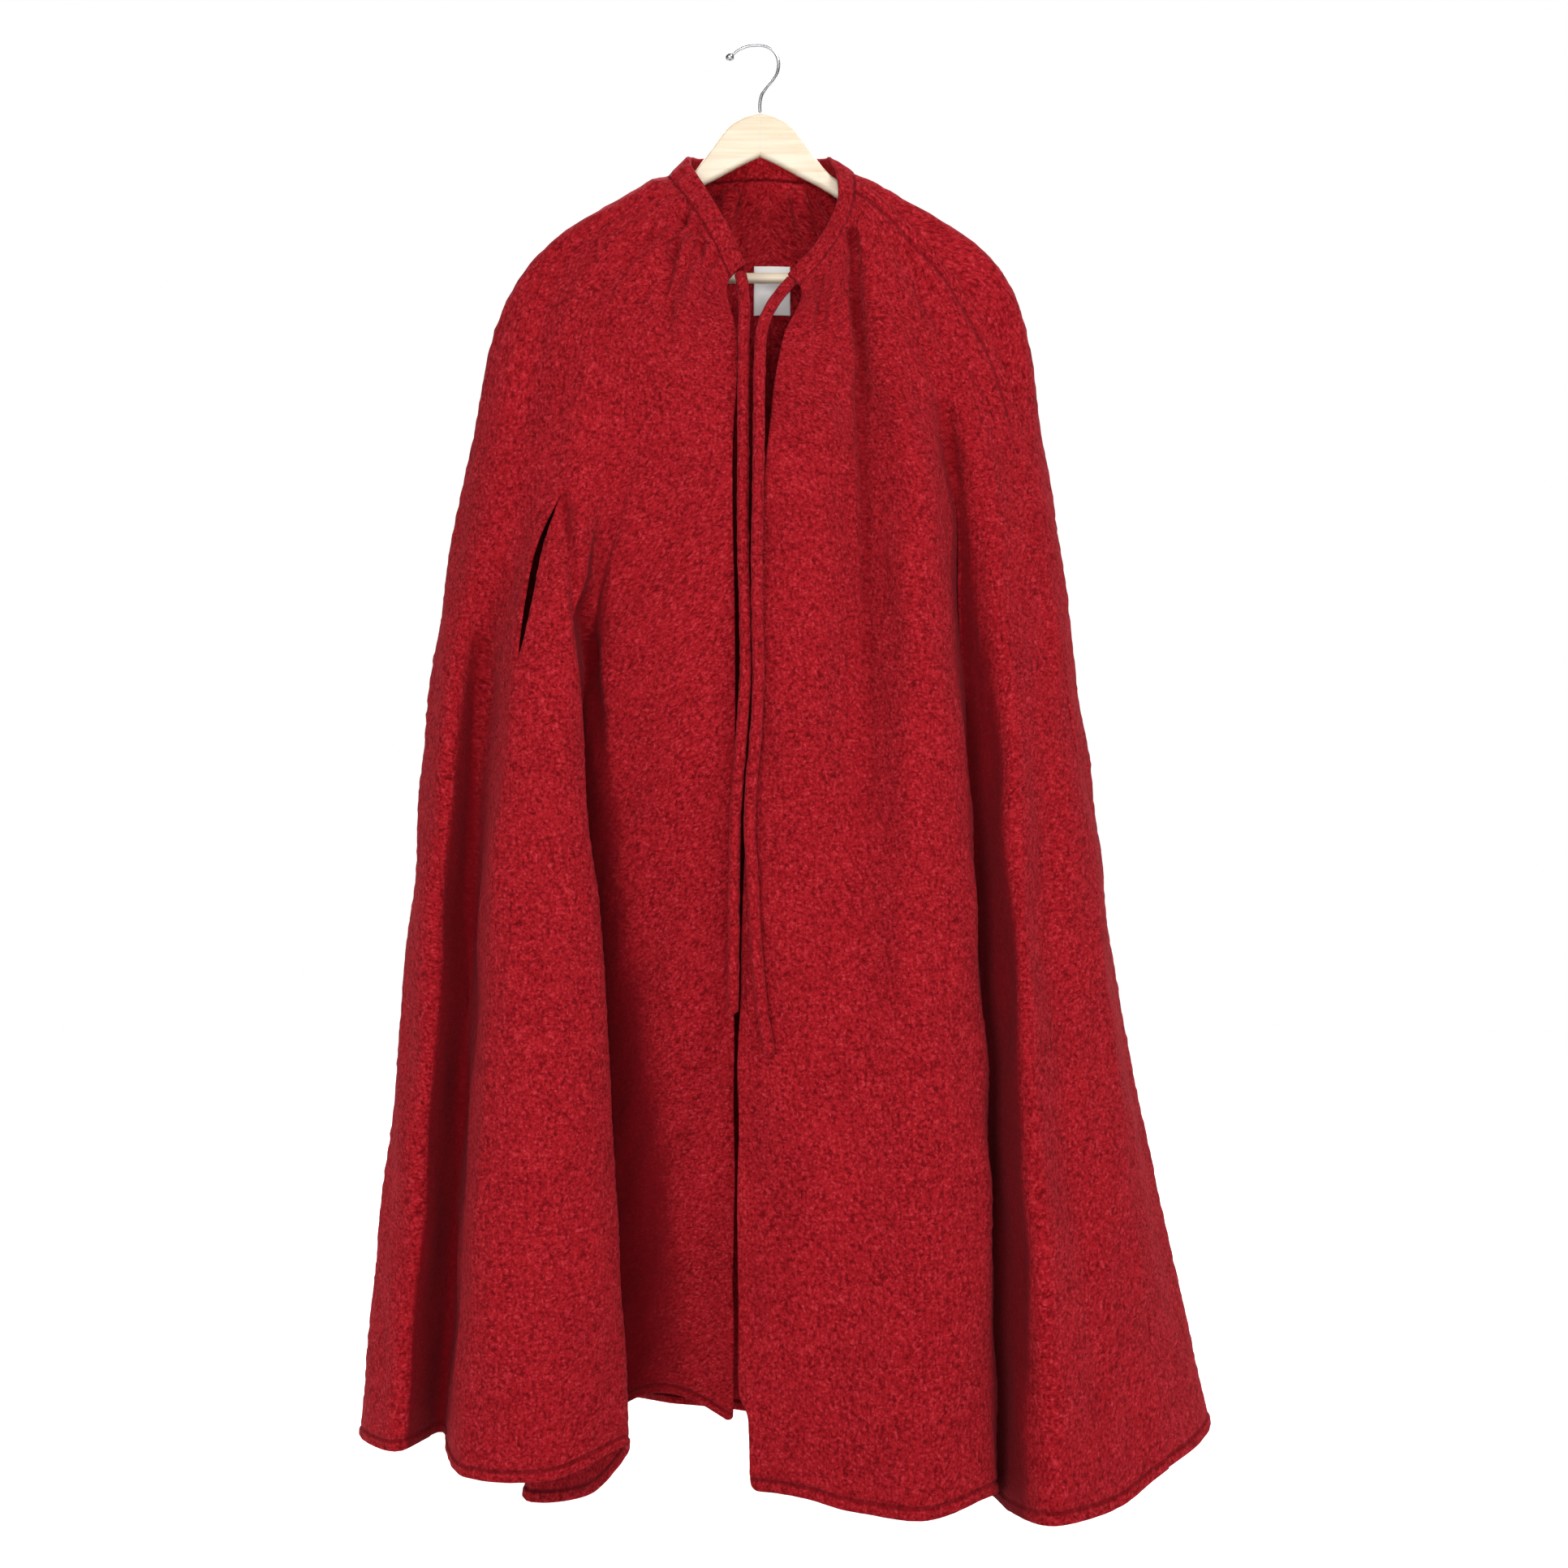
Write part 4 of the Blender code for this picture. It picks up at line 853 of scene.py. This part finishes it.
front_right = add_panel("cape_front_right", "front_right", "right_edge", "right_seam", 21,
                        slit_fold="right_slit", slit_gap=SLIT_GAP, slit_bow=SLIT_BOW)
back_right = add_panel("cape_back_right", "back_right", "right_seam", "back_centre", 31, calm_to=LABEL_FOOT)
back_left = add_panel("cape_back_left", "back_left", "back_centre", "left_seam", 41, calm_to=LABEL_FOOT)
front_left = add_panel("cape_front_left", "front_left", "left_seam", "left_edge", 51,
                       slit_fold="left_valley", slit_gap=SLIT_CLOSED, turned_back=FOOT_TURN, welted=True)


# Neckband
# A narrow strip of the wool, folded double over the gathered edge and stitched. It stands
# up round the neck, and its two front ends run on into the ties.
BAND_CLOTH = 0.0056
BAND_ROWS = (0.0, 0.0007, 0.0018, 0.0034, 0.006, 0.009, 0.012, 0.015, 0.018, 0.0205, 0.0220)
BAND_CROWN = 0.0034             # height of the rounding along its folded top
BAND_FOLD = 0.35                # share of its thickness at the very top
BAND_PINCH = 0.30               # share that its stitching takes away at the foot
BAND_COLUMNS = 280

rows = np.array(BAND_ROWS + (V_NECK + SEAM_LAP,))
neck_u = np.interp(np.linspace(0.0, 1.0, BAND_COLUMNS), NECK_SHARES, U_KNOTS)
u = np.repeat(neck_u[None, :], len(rows), axis=0)
v = np.repeat(rows[:, None], BAND_COLUMNS, axis=1)
middle = cloth(u, v)
normal, _ = directions(cloth, u, v)
along = np.repeat(running_length(middle[5])[None, :], len(rows), axis=0)
crown = np.sqrt(np.clip(1.0 - (1.0 - np.clip(v / BAND_CROWN, 0.0, 1.0)) ** 2, 0.0, 1.0))
half_wall = BAND_CLOTH / 2 * (BAND_FOLD + (1.0 - BAND_FOLD) * crown)
half_wall = half_wall * (1.0 - BAND_PINCH * smooth((v - 0.0185) / 0.0045))
lumps = (0.0003 * ripples(along, v, 0.008, 0.018, 60, 61)
         + 0.0005 * ripples(along, v * 0.3, 0.012, 0.030, 20, 62))
band = wall_mesh("cape_neckband", middle + normal * (half_wall + lumps)[:, :, None],
                 middle - normal * (half_wall + lumps * 0.4)[:, :, None], np.stack([along, v], axis=-1),
                 v - V_NECK, WOOL)
place_piece(band, "neckband")


# Label
# A small blank label of white woven tape, sewn flat to the inside of the back just under
# the neckband, with its ends folded under.
LABEL_WIDTH = 0.034
LABEL_HEIGHT = 0.042
LABEL_CLOTH = 0.0008
LABEL_TOP = 0.101
LABEL_X = 0.016
LABEL_CLEAR = 0.0006            # between it and the back
LABEL_PUFF = 0.0003             # how far it bulges
THREAD_ACROSS, THREAD_DOWN = 0.00060, 0.00045   # pitch of its threads
LABEL_COLUMNS, LABEL_ROWS = 36, 44
LABEL_WHITE = (0.94, 0.93, 0.91, 1.0)
LABEL_SHADE = (0.80, 0.785, 0.77, 1.0)


def label_material():
    """White tape: fine threads crossing, from two sets of sine waves on the UV."""
    made, tree, shader = new_material("label_tape", Roughness=0.62, Sheen_Weight=0.2, Sheen_Roughness=0.4)
    place = coordinates(tree, "UV")
    parts = add_node(tree, "ShaderNodeSeparateXYZ", {"Vector": place})
    turns = [math_node(tree, "MULTIPLY", parts.outputs[axis], 2 * math.pi / pitch)
             for axis, pitch in (("X", THREAD_ACROSS), ("Y", THREAD_DOWN))]
    threads = [math_node(tree, "SINE", turn) for turn in turns]
    height = math_node(tree, "MULTIPLY", threads[0], threads[1])
    patch = noise(tree, place, 260.0, 3.0)
    # Painted shade where the threads lie low between their crossings, with random patches of greyer tone
    share = math_node(tree, "MULTIPLY", ramp(tree, math_node(tree, "ADD", height, patch), 0.9, 0.0), 0.35)
    finish_surface(tree, shader, mix_colour(tree, share, LABEL_WHITE, LABEL_SHADE), height, 0.4, 0.0002)
    return made


rows = np.linspace(LABEL_TOP, LABEL_TOP + LABEL_HEIGHT, LABEL_ROWS)
scan = np.linspace(u_of("back_3"), u_of("back_9"), 400)
scan_v = np.repeat(rows[:, None], len(scan), axis=1)
scan_x = cloth(np.repeat(scan[None, :], len(rows), axis=0), scan_v)[:, :, 0]
wanted = np.linspace(LABEL_X - LABEL_WIDTH / 2, LABEL_X + LABEL_WIDTH / 2, LABEL_COLUMNS)
u = np.array([np.interp(wanted, row_x, scan) for row_x in scan_x])
v = np.repeat(rows[:, None], LABEL_COLUMNS, axis=1)
normal, _ = directions(cloth, u, v)
flat = np.stack(np.broadcast_arrays(wanted[None, :], -v), axis=-1)
edge = np.minimum(LABEL_WIDTH / 2 - np.abs(flat[:, :, 0] - LABEL_X),
                  np.minimum(v - LABEL_TOP, LABEL_TOP + LABEL_HEIGHT - v))
puff = LABEL_PUFF * ripples(flat[:, :, 0], v, 0.010, 0.030, 16, 71) * smooth(edge / 0.006)
near = cloth(u, v) - normal * (CLOTH / 2 + LABEL_CLEAR)
thick = LABEL_CLOTH * (0.5 + 0.5 * smooth(edge / 0.002)) + LABEL_PUFF + puff
label = wall_mesh("neck_label", near, near - normal * thick[:, :, None], flat, edge, label_material())
place_piece(label, "label")


# Hanger arms
# Two flat arms of pale beech with rounded edges, glued at the middle, where a fine joint
# line shows. Each sweeps down to the shoulder and ends in a rounded, turned-down tip.
HANGER_X = 0.005
JOINT_GAP = 0.0003
ARM_THICK = 0.012
ARM_EDGE = 0.005
ARM_DROP_RIGHT = 0.0011         # each arm's top, lower than the sections say, just under the cloth
ARM_DROP_LEFT = -0.0026
ARM_RINGS = 90
DROP_START, DROP_BLEND = 0.05, 0.035        # where along the arm it begins, and over what length
TIP_START = 0.17                # past here the outline is straight from section to section
TIP_RINGS = (0.0005, 0.0015, 0.0025, 0.0035)    # close rings where the arm turns down
CORNER_POINTS = 7
HangerSection = namedtuple("HangerSection", "out top bottom")
HANGER = (
    HangerSection(0.0000, -0.0616, -0.1030), HangerSection(0.0150, -0.0660, -0.1100),
    HangerSection(0.0300, -0.0755, -0.1180), HangerSection(0.0420, -0.0915, -0.1245),
    HangerSection(0.0530, -0.1060, -0.1300), HangerSection(0.0640, -0.1195, -0.1365),
    HangerSection(0.0850, -0.1330, -0.1510), HangerSection(0.1100, -0.1430, -0.1660),
    HangerSection(0.1400, -0.1570, -0.1830), HangerSection(0.1650, -0.1710, -0.1970),
    HangerSection(0.1880, -0.1860, -0.2095), HangerSection(0.1920, -0.1890, -0.2330),
    HangerSection(0.2040, -0.1990, -0.2335), HangerSection(0.2110, -0.2080, -0.2320),
    HangerSection(0.2150, -0.2160, -0.2290),
)
WOOD_PALE = (0.84, 0.73, 0.57, 1.0)
WOOD_DARK = (0.70, 0.52, 0.33, 1.0)


def wood_group():
    """Pale wood grain along X: long streaks of noise, with short dark pores among them."""
    tree, given, result = new_group(
        "wood_grain", (("Place", "Vector"), ("Pale", "Color"), ("Dark", "Color")),
        (("Colour", "Color"), ("Height", "Float"), ("Roughness", "Float")))
    streaks = add_node(tree, "ShaderNodeVectorMath", {0: given["Place"], 1: (6.0, 120.0, 190.0)},
                       operation="MULTIPLY")
    pores = add_node(tree, "ShaderNodeVectorMath", {0: given["Place"], 1: (90.0, 900.0, 1500.0)},
                     operation="MULTIPLY")
    bands = noise(tree, streaks.outputs[0], 1.0, 5.0)
    flecks = ramp(tree, noise(tree, pores.outputs[0], 1.0, 2.0), 0.60, 0.72)
    share = math_node(tree, "ADD", math_node(tree, "MULTIPLY", ramp(tree, bands, 0.40, 0.66), 0.55),
                      math_node(tree, "MULTIPLY", flecks, 0.30))
    tree.links.new(mix_colour(tree, share, given["Pale"], given["Dark"]), result["Colour"])
    tree.links.new(math_node(tree, "SUBTRACT", bands, flecks), result["Height"])
    rough = math_node(tree, "ADD", 0.36, math_node(tree, "MULTIPLY", bands, 0.18))
    tree.links.new(rough, result["Roughness"])
    return tree


def wood_material():
    """Lacquered pale wood."""
    made, tree, shader = new_material("pale_beech", Coat_Weight=0.25, Coat_Roughness=0.25,
                                      Specular_IOR_Level=0.45)
    place = coordinates(tree, "Object")
    grain = add_node(tree, "ShaderNodeGroup", {}, node_tree=wood_group())
    tree.links.new(place, grain.inputs["Place"])
    grain.inputs["Pale"].default_value = WOOD_PALE
    grain.inputs["Dark"].default_value = WOOD_DARK
    finish_surface(tree, shader, grain.outputs["Colour"], grain.outputs["Height"], 0.25, 0.0002)
    tree.links.new(grain.outputs["Roughness"], shader.inputs["Roughness"])
    return made


def rounded_ring(half_y, top, bottom, radius):
    """Points (y, z) round a rectangle with rounded corners, a ring to each place along the arm."""
    radius = np.minimum(radius, (top - bottom) * 0.45)[:, None]
    turn = np.radians(np.linspace(0, 90, CORNER_POINTS))[None, :]
    corners = []
    for order, (side_y, side_z) in enumerate(((1, 1), (-1, 1), (-1, -1), (1, -1))):
        corner_z = (top[:, None] - radius) if side_z > 0 else (bottom[:, None] + radius)
        angle = turn + order * math.pi / 2
        corners.append(np.stack([side_y * (half_y - radius) + radius * np.cos(angle),
                                 corner_z + radius * np.sin(angle)], axis=-1))
    return np.concatenate(corners, axis=1)


def add_arm(name, node, side, drop):
    """One arm: rounded rectangles carried along its smooth top and bottom curves."""
    knots = np.array([section.out for section in HANGER])
    edges = np.array([(section.top, section.bottom) for section in HANGER])
    edges[:, 0] -= drop * np.clip((knots - DROP_START) / DROP_BLEND, 0.0, 1.0)
    out = np.linspace(JOINT_GAP / 2, knots[-1], ARM_RINGS)
    out = np.sort(np.concatenate([out, knots[-5] + np.array(TIP_RINGS)]))
    fitted = np.stack([np.interp(out, knots, edges[:, 0]), np.interp(out, knots, edges[:, 1])], axis=-1)
    curved = hermite(knots, edges, out)
    near_tip = (out > TIP_START)[:, None]
    edges = np.where(near_tip, fitted, curved)
    ring = rounded_ring(ARM_THICK / 2, edges[:, 0], edges[:, 1], np.full(len(out), ARM_EDGE))
    if side > 0:
        ring = ring[:, ::-1]
    count = ring.shape[1]
    points = np.concatenate([np.broadcast_to((HANGER_X + side * out)[:, None, None], (len(out), count, 1)),
                             ring], axis=-1)
    number = np.arange(len(out) * count).reshape(len(out), count)
    after = np.roll(number, -1, axis=1)
    quads = np.stack([number[:-1], number[1:], after[1:], after[:-1]], axis=-1).reshape(-1, 4)
    caps = [number[0].tolist(), number[-1][::-1].tolist()]
    flat = np.zeros((quads.size + 2 * count, 2))
    arm = add_piece(name, points.reshape(-1, 3), quads.tolist() + caps, flat, WOOD)
    arm.data.set_sharp_from_angle(angle=math.radians(50))
    place_piece(arm, node)


WOOD = wood_material()
add_arm("hanger_arm_right_wood", "hanger_arm_right", -1, ARM_DROP_RIGHT)
add_arm("hanger_arm_left_wood", "hanger_arm_left", 1, ARM_DROP_LEFT)


# Hanger bar
# A round rod of the same wood, turned smooth, let into the turned-down ends of the arms.
BAR_RADIUS = 0.005
BAR_Z = -0.2165
BAR_REACH = 0.1880

bar_out = np.linspace(-BAR_REACH, BAR_REACH, 80)
bar_path = np.stack(np.broadcast_arrays(HANGER_X + bar_out, 0.0, BAR_Z), axis=-1)
bar = tube_mesh("hanger_bar_wood", bar_path, BAR_RADIUS, WOOD)
place_piece(bar, "hanger_bar")


# Hook
# A bent hook of bright chromed steel wire, screwed into the joint of the arms, with a
# small ball on its free end so that it catches nothing.
WIRE_RADIUS = 0.0015
HOOK_ROUTE = (
    (0.0050, 0.0, -0.0612), (0.0052, 0.0, -0.0505), (0.0068, 0.0, -0.0445), (0.0110, 0.0, -0.0380),
    (0.0172, 0.0, -0.0304), (0.0212, 0.0, -0.0235), (0.0224, 0.0, -0.0152), (0.0203, 0.0, -0.0074),
    (0.0155, 0.0, -0.0020), (0.0085, 0.0, 0.0010), (0.0000, 0.0, 0.0015), (-0.0085, 0.0, 0.0002),
    (-0.0155, 0.0, -0.0030), (-0.0205, 0.0, -0.0070),
)
BALL_RADIUS = 0.0040
STEEL = (0.50, 0.51, 0.53, 1.0)


def steel_material():
    """Chromed wire: polished, with faint drawn lines and a few dull spots."""
    made, tree, shader = new_material("chromed_steel", Metallic=1.0)
    shader.inputs["Base Color"].default_value = STEEL
    place = coordinates(tree, "Object")
    spots = noise(tree, place, 900.0, 4.0)
    rough = math_node(tree, "ADD", 0.22, math_node(tree, "MULTIPLY", ramp(tree, spots, 0.45, 0.75), 0.22))
    bump = add_node(tree, "ShaderNodeBump", {"Strength": 0.02, "Distance": 0.0001, "Height": spots})
    tree.links.new(rough, shader.inputs["Roughness"])
    tree.links.new(bump.outputs["Normal"], shader.inputs["Normal"])
    return made


STEEL_WIRE = steel_material()
hook_path = path_through(HOOK_ROUTE, 0.0008)
hook = tube_mesh("hanger_hook_wire", hook_path, WIRE_RADIUS, STEEL_WIRE)
way = hook_path[-1] - hook_path[-2]
ball_centre = hook_path[-1] + way / np.linalg.norm(way) * (BALL_RADIUS - 0.0004)
swing = np.linspace(0.04, math.pi - 0.04, 24)
ball_path = ball_centre + np.outer(-BALL_RADIUS * np.cos(swing), (0.0, 0.0, 1.0))
ball = tube_mesh("hanger_hook_ball_steel", ball_path, (BALL_RADIUS * np.sin(swing))[:, None], STEEL_WIRE)
place_piece(hook, "hanger_hook")
place_piece(ball, "hanger_hook_ball")


# Studio
# A plain white floor under the hanging cape, and wide soft lights in front and above.
FLOOR_Z = -1.46
FLOOR_RADIUS = 7.0
FLOOR_SOLID = 1.2               # further out than this the paper fades into the white of the room
FLOOR_POINTS = 64               # round its rim
PAPER_WHITE = (0.93, 0.93, 0.93, 1.0)
PAPER_SHADE = (0.90, 0.90, 0.90, 1.0)
CAPE_MIDDLE = (0.0, 0.0, -0.7)
ROOM_LIGHT = 0.19               # what the white room gives off all round
ROOM_WHITE = 1.0                # and how white it looks


def floor_material():
    """Matt white paper with a very faint mottle, fading out towards its rim."""
    made, tree, shader = new_material("floor_paper", Roughness=0.9, Specular_IOR_Level=0.1)
    place = coordinates(tree, "Object")
    colour = mix_colour(tree, noise(tree, place, 3.0, 2.0), PAPER_WHITE, PAPER_SHADE)
    level = add_node(tree, "ShaderNodeVectorMath", {0: place, 1: (1.0, 1.0, 0.0)}, operation="MULTIPLY")
    radius = add_node(tree, "ShaderNodeVectorMath", {0: level.outputs[0]}, operation="LENGTH")
    tree.links.new(colour, shader.inputs["Base Color"])
    solid = ramp(tree, radius.outputs["Value"], FLOOR_RADIUS - 0.2, FLOOR_SOLID)
    tree.links.new(solid, shader.inputs["Alpha"])
    return made


def studio_world():
    """A white room: soft light from all round, and plain white where the camera sees it."""
    made = bpy.data.worlds.new("studio")
    made.use_nodes = True
    tree = made.node_tree
    back = tree.nodes["Background"]
    back.inputs["Color"].default_value = (1.0, 1.0, 1.0, 1.0)
    seen = add_node(tree, "ShaderNodeLightPath", {}).outputs["Is Camera Ray"]
    extra = math_node(tree, "MULTIPLY", seen, ROOM_WHITE - ROOM_LIGHT)
    tree.links.new(math_node(tree, "ADD", extra, ROOM_LIGHT), back.inputs["Strength"])
    return made


def add_light(name, place, target, size, power):
    """A square area light at a place, turned to its target."""
    data = bpy.data.lights.new(name, "AREA")
    data.shape = "SQUARE"
    data.size = size
    data.energy = power
    made = bpy.data.objects.new(name, data)
    made.location = place
    aim = np.array(target) - np.array(place)
    tilt, turn = math.acos(-aim[2] / np.linalg.norm(aim)), math.atan2(aim[0], -aim[1])
    made.rotation_euler = (tilt, 0.0, turn + math.pi)
    bpy.context.scene.collection.objects.link(made)


turn = np.linspace(0.0, 2 * math.pi, FLOOR_POINTS + 1)[:-1]
floor_points = np.stack([FLOOR_RADIUS * np.cos(turn), FLOOR_RADIUS * np.sin(turn),
                         np.full(FLOOR_POINTS, FLOOR_Z)], axis=-1)
floor = add_piece("floor", floor_points, [list(range(FLOOR_POINTS))], floor_points[:, :2], floor_material())
bpy.context.scene.world = studio_world()
add_light("key", (-1.15, -3.0, 0.10), CAPE_MIDDLE, 1.3, 34)
add_light("fill", (0.3, -3.2, -0.35), CAPE_MIDDLE, 0.9, 29)
add_light("top", (1.3, -1.5, 1.3), (0.1, 0.0, -0.3), 0.9, 32)
add_light("floor_light", (0.0, 3.4, 2.4), (0.0, 3.0, FLOOR_Z), 4.5, 420)
add_light("back", (0.6, 2.8, 0.6), CAPE_MIDDLE, 2.2, 30)
